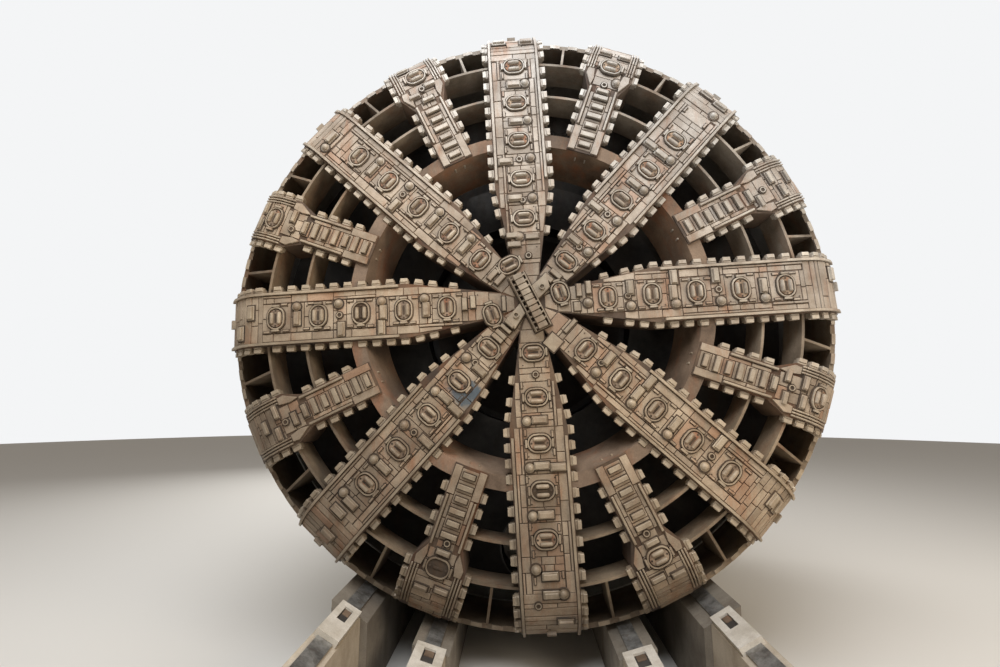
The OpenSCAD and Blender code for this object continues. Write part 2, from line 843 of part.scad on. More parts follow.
// One turn after the other of the flight, as a closed band round the shaft
module flight() {
    turn_n = 16;
    n = floor(turn_n * (tube_len - 200) / flight_pitch);
    r0 = (auger_r + seat_gap) / cos(180 / turn_n);
    r1 = tube_r - tube_t - flight_gap;
    flight_t = 50;
    pts = [for (i = [0 : n], p = [[r0, 0], [r1, 0], [r1, flight_t], [r0, flight_t]])
        [p[0] * cos(i * 360 / turn_n), p[0] * sin(i * 360 / turn_n),
         i * flight_pitch / turn_n + p[1]]];
    sides = [for (i = [0 : n - 1], j = [0 : 3]) let (k = (j + 1) % 4)
        [4 * i + j, 4 * i + k, 4 * i + 4 + k, 4 * i + 4 + j]];
    polyhedron(pts, concat([[3, 2, 1, 0]], sides, [[4 * n, 4 * n + 1, 4 * n + 2, 4 * n + 3]]), 4);
}

module screw_auger() {
    color("silver") screw_frame() translate([0, 0, -auger_out]) {
        cylinder(r = auger_r, h = auger_out + tube_len + 150);
        translate([0, 0, 50]) flight();
    }
}

module screw_drive() {
    cap_t = 220;
    color("steelblue") screw_frame() translate([0, 0, tube_len]) {
        difference() {
            cylinder(r = tube_r + flange_out, h = cap_t);
            translate([0, 0, -over]) cylinder(r = auger_r + seat_gap, h = cap_t - 50 + over);
        }
        translate([0, 0, cap_t]) cylinder(r = 560, h = 380);
        copies(6, 30) translate([740, 0, cap_t]) cylinder(r = 130, h = 480);
    }
}

module screw_gate() {
    color("silver") screw_frame()
        translate([-gate_w / 2, chute_drop + touch, gate_z - chute_l / 2 - tube_t])
            cube([gate_w, gate_t, chute_l + 2 * tube_t]);
}

// Places the hinge of a lock's door, Y along its pin, on side s
module at_hinge(s) {
    head_frame() translate([s * (lock_x + hinge_x), lock_y, -lock_back - hinge_d]) children();
}

module man_locks() {
    color("white") {
        head_frame() for (s = [-1, 1]) translate([s * lock_x, lock_y, 0]) difference() {
            disc(lock_r, bulkhead_d + bulkhead_t, lock_back);
            disc(lock_r - lock_t, bulkhead_d + bulkhead_t - over, lock_back - lock_t);
            disc(door_r, lock_back - lock_t - over, lock_back + over);
        }
        for (s = [-1, 1]) at_hinge(s) {
            rotate([90, 0, 0]) cylinder(r = pin_r, h = 400, center = true);
            for (y = [-200, 140]) translate([-50, y, -50]) cube([100, 60, hinge_d + 50]);
        }
    }
}

module lock_door(s) {
    color("orange") {
        head_frame() translate([s * lock_x, lock_y, 0])
            disc(door_r + 60, lock_back + touch, lock_back + touch + door_t);
        at_hinge(s) difference() {
            union() {
                rotate([90, 0, 0]) cylinder(r = 2 * pin_r, h = 260, center = true);
                translate([s > 0 ? -hinge_x + door_r - 40 : 0, -100, -20])
                    cube([hinge_x - door_r + 40, 200, 20 + hinge_d - touch - door_t + over]);
            }
            rotate([90, 0, 0]) cylinder(r = pin_r + seat_gap, h = 300, center = true);
        }
    }
}
module lock_door_left() { lock_door(-1); }
module lock_door_right() { lock_door(1); }

deck_r = skin_in - 1275;
// Heights of the decks' tops from the machine's axis, the lowest first
deck_y = [deck_low - screw_drop, -deck_mid, skin_in - deck_high];
post_x = 4600;
post_w = 200;
post_in = 100;     // how far a post stands inside a deck's front end
post_out = 200;    // and inside its rear end
rail_end = 1250;   // how far a deck's rail ends inside the top deck's end

function deck_half(y) = sqrt(deck_r * deck_r - y * y);

module decks() {
    color("gray") head_frame() for (y = deck_y) translate([-deck_half(y), y - deck_t, -rear_plate])
        cube([2 * deck_half(y), deck_t, deck_len]);
}

// Posts between the decks, and the plates that the gantries behind are towed by
module deck_posts() {
    color("gray") head_frame() {
        for (i = [0, 1], x = [-post_x, post_x],
             d = [rear_plate - deck_len + post_in, rear_plate - post_out - post_w])
            translate([x - post_w / 2, deck_y[i] + seat_gap, -d - post_w])
                cube([post_w, deck_y[i + 1] - deck_t - deck_y[i] - 2 * seat_gap, post_w]);
        for (s = [-1, 1]) translate([s * tow_x, deck_y[1] - deck_t - seat_gap, -rear_plate])
            linear_extrude(tow_t) difference() {
                translate([-tow_w / 2, -tow_h]) square([tow_w, tow_h]);
                translate([0, -tow_h / 2]) circle(r = tow_hole_r);
            }
    }
}

module deck_rails() {
    rail_half = deck_half(deck_y[2]) - rail_end;
    tube = 30;
    post = 50;
    from_edge = 150;
    color("gold") head_frame() for (y = deck_y) translate([0, y, -rear_plate + from_edge]) {
        for (h = [deck_rail_h / 2, deck_rail_h]) translate([-rail_half - 2 * tube, h, 0])
            rotate([0, 90, 0]) cylinder(r = tube, h = 2 * rail_half + 4 * tube, $fn = 16);
        for (i = [-3 : 3]) translate([i * rail_half / 3 - post / 2, 0, -post / 2])
            cube([post, deck_rail_h, post]);
    }
}

module erector_guide() {
    color("gainsboro") head_frame()
        ring(guide_in, guide_r, rear_plate + rear_plate_t, rear_plate + rear_plate_t + 1000);
}

// Turned round, so that the arm hangs at the bottom
module erector_frame() { head_frame() rotate([0, 0, 180]) children(); }

beam_w = 360;
beam_h = 400;
beam_y = erector_r - 550;
ring_d = rear_plate + rear_plate_t + 400;
beam_d = ring_d + 700;

module erector_ring() {
    color("orange") erector_frame() {
        ring(guide_r + seat_gap, erector_r, ring_d, beam_d);
        for (s = [-1, 1]) translate([s * beam_x - beam_w / 2, beam_y, -beam_d - beam_len])
            cube([beam_w, beam_h, beam_len]);
        translate([-weight_w / 2, -erector_r + 60, -beam_d - weight_l])
            cube([weight_w, weight_h, weight_l]);
    }
}

carriage_gap = 300;    // from the turning ring to the carriage
carriage_d = beam_d + carriage_gap;
carriage_len = 1600;
beam_end = 400;        // length of beam left behind the carriage when it is back
beam_len = carriage_gap + carriage_len + carriage_travel + beam_end;
weight_w = 3000;       // the counterweight opposite the arm
weight_h = 300;
weight_l = 500;
sleeve_x = 1080;
sleeve_r = 170;
post_r = 120;
cross_w = 400;
saddle_y = beam_y + beam_h + seat_gap;
saddle_h = 300;
sleeve_down = 350;     // how far a sleeve reaches inwards of the saddle
grip_y = erector_r + 350;
grip_t = 200;
grip_w = 2800;
post_len = grip_travel + 450;

// Places children at the four posts, Z outwards along the radius
module at_posts() {
    for (x = [-sleeve_x, sleeve_x], d = [carriage_d + cross_w / 2, carriage_d + carriage_len - cross_w / 2])
        translate([x, 0, -d]) rotate([-90, 0, 0]) children();
}

module erector_carriage() {
    color("orange") erector_frame() difference() {
        union() {
            for (s = [-1, 1]) {
                translate([s * beam_x - beam_w / 2 - 60, saddle_y, -carriage_d - carriage_len])
                    cube([beam_w + 120, saddle_h, carriage_len]);
                for (t = [-1, 1])
                    translate([s * beam_x + t * (beam_w / 2 + touch + 25) - 25, saddle_y - 200,
                        -carriage_d - carriage_len]) cube([50, 200 + over, carriage_len]);
            }
            for (d = [carriage_d, carriage_d + carriage_len - cross_w])
                translate([-beam_x, saddle_y + 50, -d - cross_w]) cube([2 * beam_x, saddle_h - 50, cross_w]);
            at_posts() translate([0, 0, saddle_y - sleeve_down])
                cylinder(r = sleeve_r, h = sleeve_down + saddle_h);
        }
        at_posts() translate([0, 0, saddle_y - sleeve_down - over])
            cylinder(r = post_r + seat_gap, h = sleeve_down + saddle_h + 2 * over);
    }
}

module erector_gripper() {
    color("orange") erector_frame() {
        translate([-grip_w / 2, grip_y, -carriage_d - carriage_len + 50])
            cube([grip_w, grip_t, carriage_len - 100]);
        at_posts() translate([0, 0, grip_y - post_len]) cylinder(r = post_r, h = post_len);
    }
}

rail_r = shield_r + seat_gap;
front_rail_r = head_r + rail_gap;
wall_top_r = front_rail_r + rail_t;

// Places children at both rails that stand at angle a: X down along the radius
module at_rail_pair(a) {
    for (s = [0, 1]) mirror([s, 0, 0]) rotate([0, 0, -90 + a]) children();
}

module rails_at(r, d0, d1) {
    for (a = [rail_in_a, rail_out_a]) at_rail_pair(a) translate([r, -rail_w / 2, -d1])
        cube([wall_top_r - r, rail_w, d1 - d0]);
}

module cradle_rails() {
    color("silver") head_frame() {
        rails_at(front_rail_r, -cradle_front, shield_front);
        rails_at(rail_r, shield_front, cradle_back);
    }
}

// Cross-section of a wall of width w under a rail at angle a
module wall_section(a, w) {
    x = (wall_top_r + seat_gap) * sin(a);
    y = -(wall_top_r + seat_gap) * cos(a);
    t = tan(a);
    h = w / 2;
    polygon([[x - h, y - h * t], [x + h, y + h * t], [x + h, -axis_z], [x - h, -axis_z]]);
}

// Both walls of a pair between two depths
module wall_pair(a, w, d0, d1) {
    for (s = [0, 1]) mirror([s, 0, 0]) translate([0, 0, -d1]) linear_extrude(d1 - d0) wall_section(a, w);
}

module cradle_walls() {
    color("darkgray") head_frame() for (a = [rail_in_a, rail_out_a])
        wall_pair(a, wall_w, -block_front, cradle_back);
}

module cradle_front_walls() {
    color("beige") head_frame() {
        wall_pair(rail_in_a, front_in_w, -cradle_front, -block_front - seat_gap);
        wall_pair(rail_out_a, front_out_w, -cradle_front, -block_front - seat_gap);
    }
}

// A box that straddles a front rail, with a sunk window in its top
module saddle_box(w) {
    front = block_front + 50 + box_len;
    window = [box_h * 0.6, w * 0.4, box_len * 0.4];
    difference() {
        translate([front_rail_r - box_h, -w / 2, front - box_len]) cube([box_h + rail_t, w, box_len]);
        translate([front_rail_r - seat_gap, -rail_w / 2 - seat_gap, front - box_len - over])
            cube([rail_t + 2 * seat_gap, rail_w + 2 * seat_gap, box_len + 2 * over]);
        translate([front_rail_r - box_h - over, -window[1] / 2, front - box_len + 200]) cube(window);
    }
}

module cradle_boxes() {
    color("white") head_frame() {
        at_rail_pair(rail_in_a) saddle_box(front_in_w);
        at_rail_pair(rail_out_a) saddle_box(front_out_w);
    }
}

main_spokes();
short_spokes();
rim();
ring_plates();
ring_webs();
box_ring();
cutter_housings();
edge_bits();
short_spoke_bits();
face_blocks();
edge_rails();
centre_bit();
rim_bits();
support_legs();
drive_drum();
centre_shaft();
mixing_bars();
front_shield();
middle_shield();
tail_skin();
tail_brushes();
bulkhead();
bearing_housing();
drive_motors();
jack_ring_front();
jack_ring_rear();
jack_barrels();
jacks_top();
jacks_right();
jacks_bottom();
jacks_left();
screw_tube();
screw_auger();
screw_drive();
screw_gate();
man_locks();
lock_door_left();
lock_door_right();
decks();
deck_posts();
deck_rails();
erector_guide();
erector_ring();
erector_carriage();
erector_gripper();
cradle_walls();
cradle_front_walls();
cradle_rails();
cradle_boxes();
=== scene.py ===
# %% [markdown]
# # A shield machine on its cradle
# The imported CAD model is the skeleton: it gives every place and size. This script dresses it.
# The cutterhead gets its welded wear plates, cutters and teeth, because they are what the eye
# meets first, and every CAD node that stays gets a finish of its own.

# %% Load the frame
import json
import math
import random

import bmesh
import bpy
from mathutils import Matrix, Vector


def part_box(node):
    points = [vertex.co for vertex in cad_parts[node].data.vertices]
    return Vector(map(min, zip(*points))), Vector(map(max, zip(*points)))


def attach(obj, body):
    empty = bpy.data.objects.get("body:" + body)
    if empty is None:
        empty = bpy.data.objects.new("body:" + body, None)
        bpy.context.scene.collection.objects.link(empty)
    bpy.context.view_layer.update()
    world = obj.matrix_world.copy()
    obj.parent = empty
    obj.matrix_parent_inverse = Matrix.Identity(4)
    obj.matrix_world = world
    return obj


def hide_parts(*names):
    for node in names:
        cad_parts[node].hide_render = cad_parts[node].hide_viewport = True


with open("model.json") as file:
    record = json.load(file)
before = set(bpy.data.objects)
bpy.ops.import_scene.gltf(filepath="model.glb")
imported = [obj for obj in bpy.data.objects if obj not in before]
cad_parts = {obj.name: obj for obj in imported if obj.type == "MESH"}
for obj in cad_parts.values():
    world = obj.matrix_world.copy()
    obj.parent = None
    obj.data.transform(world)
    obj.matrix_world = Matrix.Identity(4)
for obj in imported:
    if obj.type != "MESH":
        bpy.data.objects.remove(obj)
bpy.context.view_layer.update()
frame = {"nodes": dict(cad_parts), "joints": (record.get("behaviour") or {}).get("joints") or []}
nodes = frame["nodes"]

# %% [markdown]
# ## The camera
# The photograph was taken from inside the pit with a wide lens, low and close to the face.
# The place and angles below put the hub, the rim and the rails where the photograph has them.

# %% Camera
scene = bpy.context.scene
scene.view_settings.view_transform = "Standard"
lens = bpy.data.cameras.new("pit_view")
lens.lens = 17.0
lens.sensor_width = 36.0
lens.clip_end = 500.0
viewer = bpy.data.objects.new("pit_view", lens)
viewer.location = (-0.341, -19.632, 7.024)
viewer.rotation_euler = (math.radians(90 + 9.09485), 0, math.radians(2.1414509))
scene.collection.objects.link(viewer)
scene.camera = viewer
print("camera at", tuple(viewer.location))

# %% [markdown]
# ## Soft light
# The machine stands in a pit under a white sky, so the light falls steeply from above and is
# weaker low down. One large area lamp over the front does the same. Weaker lamps reach the
# top, the right and the rear, and a dim, slightly warm world stands for light off the walls.

# %% Two helpers: colours and shader nodes


def srgb(hexed):
    """The linear colour of an sRGB hex value such as "b8a98f"."""
    parts = [int(hexed[i:i + 2], 16) / 255 for i in (0, 2, 4)]
    return (*[p / 12.92 if p <= 0.04045 else ((p + 0.055) / 1.055) ** 2.4 for p in parts], 1.0)


def add(tree, kind, inputs=None, **settings):
    """Adds a node. Inputs are keyed by socket, and each is a value or another node's output."""
    made = tree.nodes.new(kind)
    for key, value in settings.items():
        setattr(made, key, value)
    for key, value in (inputs or {}).items():
        if isinstance(value, bpy.types.NodeSocket):
            tree.links.new(value, made.inputs[key])
        else:
            made.inputs[key].default_value = value
    return made


# %% Lamps


def area_lamp(name, place, aim, size, watts, colour="ffffff"):
    """A round area lamp that shines from its place towards a point."""
    lamp = bpy.data.lights.new(name, "AREA")
    lamp.shape = "DISK"
    lamp.size = size
    lamp.energy = watts
    lamp.color = srgb(colour)[:3]
    thing = bpy.data.objects.new(name, lamp)
    thing.location = place
    thing.rotation_euler = (Vector(aim) - Vector(place)).to_track_quat("-Z", "Y").to_euler()
    scene.collection.objects.link(thing)


area_lamp("sky_front", (-3, -22, 30), (0, -7, 11), 20, 8000, "f6f9ff")
area_lamp("sky_top", (2, 2, 42), (0, 1, 9), 26, 4600, "f6f9ff")
area_lamp("sky_right", (28, -24, 20), (0, -5, 9), 16, 5200, "ffefda")
area_lamp("sky_rear", (-18, 34, 26), (0, 6, 9), 22, 7500)

# %% World and floor
world = bpy.data.worlds.new("overcast")
scene.world = world
world.use_nodes = True
sky = world.node_tree
sky.nodes.clear()
rays = add(sky, "ShaderNodeLightPath")
seen = add(sky, "ShaderNodeMath",
           {0: rays.outputs["Is Camera Ray"], 1: rays.outputs["Is Glossy Ray"]},
           operation="MAXIMUM")
seen = add(sky, "ShaderNodeMath", {0: seen.outputs[0], 1: rays.outputs["Is Transmission Ray"]},
           operation="MAXIMUM")
fill = add(sky, "ShaderNodeBackground", {"Color": srgb("fff1e2"), "Strength": 0.24})
shown = add(sky, "ShaderNodeBackground", {"Color": srgb("f4f5f6"), "Strength": 1.0})
both = add(sky, "ShaderNodeMixShader",
           {0: seen.outputs[0], 1: fill.outputs[0], 2: shown.outputs[0]})
add(sky, "ShaderNodeOutputWorld", {"Surface": both.outputs[0]})

floor_mesh = bpy.data.meshes.new("floor")
bm = bmesh.new()
bmesh.ops.create_circle(bm, cap_ends=True, segments=128, radius=130)
bm.to_mesh(floor_mesh)
bm.free()
floor = bpy.data.objects.new("floor", floor_mesh)
scene.collection.objects.link(floor)
plain = bpy.data.materials.new("pale_floor")
plain.use_nodes = True
plain.node_tree.nodes["Principled BSDF"].inputs["Base Color"].default_value = srgb("d9d6cf")
plain.node_tree.nodes["Principled BSDF"].inputs["Roughness"].default_value = 0.9
floor_mesh.materials.append(plain)
print("world and floor are in place")

# %% [markdown]
# ## Weathered finishes
# Nearly everything here is thick steel plate that has been dragged through sand and clay and
# has stood in the rain: a pale coat of dried fines, darker bare patches, brown rust that runs
# down, and a slightly pitted surface. One function lays those four on Object coordinates, and
# each finish differs in its colours and in how much of each it has. Random Per Island gives a
# number for each plate that was welded on by itself: it shifts the plate's tone, and a few
# plates come out rusty all over. Patches are 0.5 m to 2 m across. Real pitting is 1 mm to 3 mm
# wide, and it is drawn 12 mm to 45 mm wide here, because finer would not show at this size.

# %% Values that the finishes share
RUN = 0.25                 # a rust patch is four times as tall as it is wide
PAINT_ROUGH = 0.65         # roughness of brushed paint
UPHILL = (0.5, 0.0, 1.0)   # light reaches the top and the right more than the rest, and the colour is painted lighter that way
PAINTED_SHADE_TINT = (0.56, 0.52, 0.47, 1)      # painted shade: what the lowest surfaces' colour is multiplied by
PAINTED_WARM_LIGHT_TINT = (1.04, 0.97, 0.87, 1)     # painted warm light off the walls: the same for the middle ones
PAINTED_SKY_LIGHT_TINT = (1.03, 1.13, 1.31, 1)    # painted sky light: and for the highest
HUB = (0.0, -7.2, 9.9)     # the middle of the head's face
print("a rust run is", 1 / RUN, "times as tall as it is wide")

# %% One function for weathered surfaces


def weathered(name, pale, dark, rust, rusty=0.35, patch_m=1.1, grain_mm=45.0, rough=0.75,
              metal=0.0, pits_mm=3.0, island=0.0, tinted=0.0, smear=None, painted_light_by_height=False,
              chamber=None, past=None):
    """A finish: pale fines over a darker ground, rust that runs down, fine pits.

    island shifts the tone of each loose part, and tinted is the share of them that is rusty all
    over. smear, chamber and past add what only some surfaces have, and one more switch paints
    light and shade into the colour by height, as told below.
    """
    made = bpy.data.materials.new(name)
    made.use_nodes = True
    tree = made.node_tree
    tree.nodes.clear()
    place = add(tree, "ShaderNodeTexCoord").outputs["Object"]
    patches = add(tree, "ShaderNodeTexNoise",
                  {"Vector": place, "Scale": 1 / patch_m, "Detail": 7.0, "Roughness": 0.62})
    streaks = add(tree, "ShaderNodeMapping", {"Vector": place, "Scale": (1.0, 1.0, RUN)})
    runs = add(tree, "ShaderNodeTexNoise", {"Vector": streaks.outputs[0], "Scale": 1.7 / patch_m,
                                            "Detail": 8.0, "Roughness": 0.7})
    grain = add(tree, "ShaderNodeTexNoise",
                {"Vector": place, "Scale": 1000 / grain_mm, "Detail": 5.0, "Roughness": 0.7})
    coat = add(tree, "ShaderNodeMapRange",
               {"Value": patches.outputs[0], "From Min": 0.36, "From Max": 0.64})
    ground = add(tree, "ShaderNodeMix", {0: coat.outputs[0], 6: srgb(dark), 7: srgb(pale)},
                 data_type="RGBA")
    share = add(tree, "ShaderNodeMapRange",
                {"Value": runs.outputs[0], "From Min": 0.50, "From Max": 0.70, "To Max": rusty})
    tone = add(tree, "ShaderNodeMapRange", {"Value": grain.outputs[0], "From Min": 0.3,
                                            "From Max": 0.7, "To Min": 0.80, "To Max": 1.12})
    if island:
        plate = add(tree, "ShaderNodeNewGeometry").outputs["Random Per Island"]
        step = add(tree, "ShaderNodeMapRange",
                   {"Value": plate, "To Min": 1 - island, "To Max": 1 + island})
        tone = add(tree, "ShaderNodeMath", {0: tone.outputs[0], 1: step.outputs[0]},
                   operation="MULTIPLY")
    if tinted:
        # a second number for each plate, which picks the few that are rusty all over
        odd = plate
        for operation, value in (("MULTIPLY", 17.3), ("FRACT", 0.0), ("LESS_THAN", tinted),
                                 ("MULTIPLY", 0.35)):
            odd = add(tree, "ShaderNodeMath", {0: odd, 1: value}, operation=operation).outputs[0]
        share = add(tree, "ShaderNodeMath", {0: share.outputs[0], 1: odd}, operation="MAXIMUM")
    stained = add(tree, "ShaderNodeMix", {0: share.outputs[0], 6: ground.outputs[2], 7: srgb(rust)},
                  data_type="RGBA")
    if smear:
        # a splash of spilt paint: where, how far it reaches in metres, and its colour
        centre, reach, paint = smear
        away = add(tree, "ShaderNodeVectorMath", {0: place, 1: centre}, operation="DISTANCE")
        ragged = add(tree, "ShaderNodeMath", {0: patches.outputs[0], 1: 2.2 * reach,
                                              2: away.outputs["Value"]}, operation="MULTIPLY_ADD")
        wet = add(tree, "ShaderNodeMapRange", {"Value": ragged.outputs[0], "From Min": 2.0 * reach,
                                               "From Max": 1.7 * reach, "To Max": 0.75})
        stained = add(tree, "ShaderNodeMix",
                      {0: wet.outputs[0], 6: stained.outputs[2], 7: srgb(paint)}, data_type="RGBA")
    if chamber is not None:
        # what reaches into the excavation chamber, in front of this Y, is caked with soil
        along = add(tree, "ShaderNodeSeparateXYZ", {"Vector": place})
        caked = add(tree, "ShaderNodeMapRange",
                    {"Value": along.outputs["Y"], "From Min": chamber + 0.2, "From Max": chamber})
        stained = add(tree, "ShaderNodeMix",
                      {0: caked.outputs[0], 6: stained.outputs[2], 7: srgb("3d352b")},
                      data_type="RGBA")
    if painted_light_by_height:
        # painted light and shade: the colour is painted lighter and bluer high up and to the right,
        # as by the sky, and darker and browner low down and to the left, as in shade
        height = add(tree, "ShaderNodeVectorMath", {0: place, 1: UPHILL}, operation="DOT_PRODUCT")
        upper = add(tree, "ShaderNodeMapRange",
                    {"Value": height.outputs["Value"], "From Min": 9.0, "From Max": 17.0})
        lower = add(tree, "ShaderNodeMapRange",
                    {"Value": height.outputs["Value"], "From Min": 2.5, "From Max": 7.5})
        painted_shade_mix = add(tree, "ShaderNodeMix", {0: lower.outputs[0], 6: PAINTED_SHADE_TINT, 7: PAINTED_WARM_LIGHT_TINT},
                   data_type="RGBA")
        painted_light_and_mud = add(tree, "ShaderNodeMix",
                    {0: upper.outputs[0], 6: painted_shade_mix.outputs[2], 7: PAINTED_SKY_LIGHT_TINT}, data_type="RGBA")
        # the middle turns slowest and stays dirty: darker towards the head's centre
        core = add(tree, "ShaderNodeVectorMath", {0: place, 1: HUB}, operation="DISTANCE")
        muddy = add(tree, "ShaderNodeMapRange", {"Value": core.outputs["Value"], "From Min": 0.9,
                                                 "From Max": 2.8, "To Min": 0.74})
        painted_light_and_mud = add(tree, "ShaderNodeVectorMath", {0: painted_light_and_mud.outputs[2], 3: muddy.outputs[0]},
                    operation="SCALE")
        stained = add(tree, "ShaderNodeMix", {0: 1.0, 6: stained.outputs[2], 7: painted_light_and_mud.outputs[0]},
                      data_type="RGBA", blend_type="MULTIPLY")
    colour = add(tree, "ShaderNodeVectorMath", {0: stained.outputs[2], 3: tone.outputs[0]},
                 operation="SCALE")
    bump = add(tree, "ShaderNodeBump",
               {"Height": grain.outputs[0], "Strength": 0.6, "Distance": pits_mm / 1000})
    sheen = add(tree, "ShaderNodeMapRange",
                {"Value": runs.outputs[0], "From Min": 0.3, "From Max": 0.7,
                 "To Min": rough - 0.12, "To Max": rough + 0.12})
    if past:
        # behind this Y the same body is painted steel, and no longer bright metal
        y, paint = past
        along = add(tree, "ShaderNodeSeparateXYZ", {"Vector": place})
        mask = add(tree, "ShaderNodeMapRange",
                   {"Value": along.outputs["Y"], "From Min": y - 0.005, "From Max": y})
        coated = add(tree, "ShaderNodeVectorMath", {0: srgb(paint)[:3], 3: tone.outputs[0]},
                     operation="SCALE")
        colour = add(tree, "ShaderNodeMix",
                     {0: mask.outputs[0], 4: colour.outputs[0], 5: coated.outputs[0]},
                     data_type="VECTOR")
        sheen = add(tree, "ShaderNodeMath",
                    {0: mask.outputs[0], 1: PAINT_ROUGH - rough, 2: sheen.outputs[0]},
                    operation="MULTIPLY_ADD")
        metal = add(tree, "ShaderNodeMath", {0: mask.outputs[0], 1: -metal, 2: metal},
                    operation="MULTIPLY_ADD").outputs[0]
    base = colour.outputs[1] if past else colour.outputs[0]
    shader = add(tree, "ShaderNodeBsdfPrincipled",
                 {"Base Color": base, "Roughness": sheen.outputs[0],
                  "Metallic": metal, "Normal": bump.outputs[0]})
    add(tree, "ShaderNodeOutputMaterial", {"Surface": shader.outputs[0]})
    return made


# %% Steels of the cutterhead
# Structural steel plate, flame cut and welded. Its dark brown is partly the packed damp soil in its
# seams and partly painted shade, so that what shows between the armour and on the spokes' flanks
# reads dark.
soiled_and_shaded_steel = weathered("soiled_plate_and_painted_seam_shade", "6f5c4a", "40342a", "7b4a2b", rusty=0.5,
                         patch_m=1.4, rough=0.85, painted_light_by_height=True)
# Abrasion-resistant plate, rolled and quenched, welded on in pieces. Dried fines make it pale
# grey brown and dull, each piece a little different, some rusty all over.
wear_plate = weathered("abrasion_resistant_plate", "b6a895", "8f7f6c", "9c6238", rusty=0.55,
                       patch_m=0.9, grain_mm=38, island=0.16, tinted=0.05, rough=0.72, metal=0.05,
                       painted_light_by_height=True, smear=((-1.83, -7.0, 7.47), 0.52, "1d4a63"))
# Forged alloy steel with a hard-facing weld on it, scoured by the ground: paler and smoother.
worn_bar = weathered("hard_faced_forging", "b5a996", "8d7f6d", "8c6243", rusty=0.30, patch_m=0.6,
                     grain_mm=22, rough=0.55, metal=0.2, pits_mm=1.5, island=0.10, painted_light_by_height=True)
# The bright tips of the teeth: cast carbide inserts, which don't rust and keep a light tone.
tooth_tip = weathered("carbide_tip", "c0b5a3", "a29480", "9c7a58", rusty=0.22, patch_m=0.5,
                      grain_mm=20, rough=0.5, metal=0.15, pits_mm=1.0, island=0.08, painted_light_by_height=True)
# The cutters' seats: forged steel that stays wet behind the cutter, stained orange and black.
seat_steel = weathered("stained_cutter_seat", "a58f76", "5e4b3a", "a0562a", rusty=0.65,
                       patch_m=0.35, grain_mm=18, rough=0.7, island=0.22)
# Soil packed into every corner, half dried, with the corners' shade painted in: dark brown beside
# the steel, without any gloss.
packed_soil_and_shade = weathered("packed_soil_and_shade", "605244", "3a3127", "6a4d33", rusty=0.3, patch_m=0.5,
                        grain_mm=16, rough=0.95, pits_mm=6, painted_light_by_height=True)
# Rolled plate of the rings and the rim, thinly coated with dried slurry.
ring_steel = weathered("slurry_coated_ring_plate", "9d8e79", "6a5c4b", "7f5232", rusty=0.5,
                       patch_m=1.3, painted_light_by_height=True)
# The box ring's plate keeps its red primer under rust and soil.
primed_steel = weathered("primed_box_plate", "8d7762", "574636", "93552f", rusty=0.6, patch_m=1.7,
                         rough=0.8)
# Machined and greased steel of the drum and the bearing: dark, smoother, a dull metal gloss.
drum_steel = weathered("greased_drum_steel", "4d4943", "272421", "4c3a2a", rusty=0.3, metal=0.4,
                       rough=0.55)
# The bulkhead's front is plate caked with soil, and its colour is darkened further as painted
# shade, the shade of the closed chamber behind the head.
caked_and_shaded_plate = weathered("soil_caked_plate_and_painted_shade", "45403a", "26221e", "513826", rusty=0.4, patch_m=1.5,
                        rough=0.9)
print(len(bpy.data.materials), "materials so far")

# %% Finishes of the shield, its drives and the cradle
# Two-pack epoxy paint over blasted plate, scuffed and dusty: a light grey, half matt.
shield_paint = weathered("dusty_epoxy_paint", "b4b3ad", "96948c", "8a6a4c", rusty=0.3, patch_m=2.4)
# The same paint in white inside, where it stays cleaner and keeps some gloss.
inner_paint = weathered("white_epoxy_paint", "d4d4ce", "b9b8b0", "93795c", rusty=0.2, patch_m=2.0,
                        rough=0.5)
CHAMBER_Y = -2.6           # in front of this the screw's casing reaches into the soil
# Alkyd enamel, sprayed on cast housings: even colour with a clear gloss.
motor_paint = weathered("blue_enamel", "2f5f94", "254c77", "3a3f44", rusty=0.2, patch_m=0.8,
                        rough=0.38, grain_mm=15, pits_mm=0.4)
screw_paint = weathered("blue_enamel_screw_casing", "2f5f94", "254c77", "3a3f44", rusty=0.2,
                        patch_m=0.8, rough=0.4, grain_mm=15, pits_mm=0.4, chamber=CHAMBER_Y)
erector_paint = weathered("orange_enamel", "d87722", "bd6417", "6b4a30", rusty=0.2, patch_m=1.0,
                          rough=0.42, grain_mm=15, pits_mm=0.4)
rail_paint = weathered("yellow_enamel", "dfb22b", "c4981f", "7a5a30", rusty=0.2, patch_m=0.7,
                       rough=0.45, grain_mm=12, pits_mm=0.3)
# Galvanised walkway plate, dulled by boots.
deck_paint = weathered("galvanised_deck_plate", "777a7c", "595c5e", "6a5442", rusty=0.3,
                       patch_m=1.0, rough=0.55, metal=0.4)
# Bundles of spring wire filled with dark seal grease.
wire_brush = weathered("greased_wire_brush", "3a3733", "262422", "4a3a2c", rusty=0.3, grain_mm=12,
                       rough=0.55, metal=0.4, pits_mm=8)
# Each jack pushes with a painted shoe, and the shoes start 0.3 m before the group ends.
SHOE_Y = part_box("jacks_top")[1][1] - 0.305
# Ground and hard-chromed steel rods: bright, nearly a mirror.
chromed_rod = weathered("hard_chromed_rod", "c9cbce", "b9bbbe", "b0aca4", rusty=0.1, grain_mm=6,
                        rough=0.2, metal=1.0, pits_mm=0.05, past=(SHOE_Y, "6f7377"))
# The screw's flights, scoured by the spoil to bare steel.
screw_steel = weathered("scoured_screw_steel", "9c958a", "7c756b", "7a573a", rusty=0.3, metal=0.7,
                        rough=0.42)
# Cast concrete: brown grey and stained on the main walls, fresh and pale on the front ones.
old_concrete = weathered("stained_concrete", "8d8577", "6a6155", "5b4a39", rusty=0.45, patch_m=1.4,
                         grain_mm=30, rough=0.9, pits_mm=4)
new_concrete = weathered("fresh_concrete", "c6baa6", "a89a86", "84705a", rusty=0.35, patch_m=1.0,
                         grain_mm=25, rough=0.88, pits_mm=2)
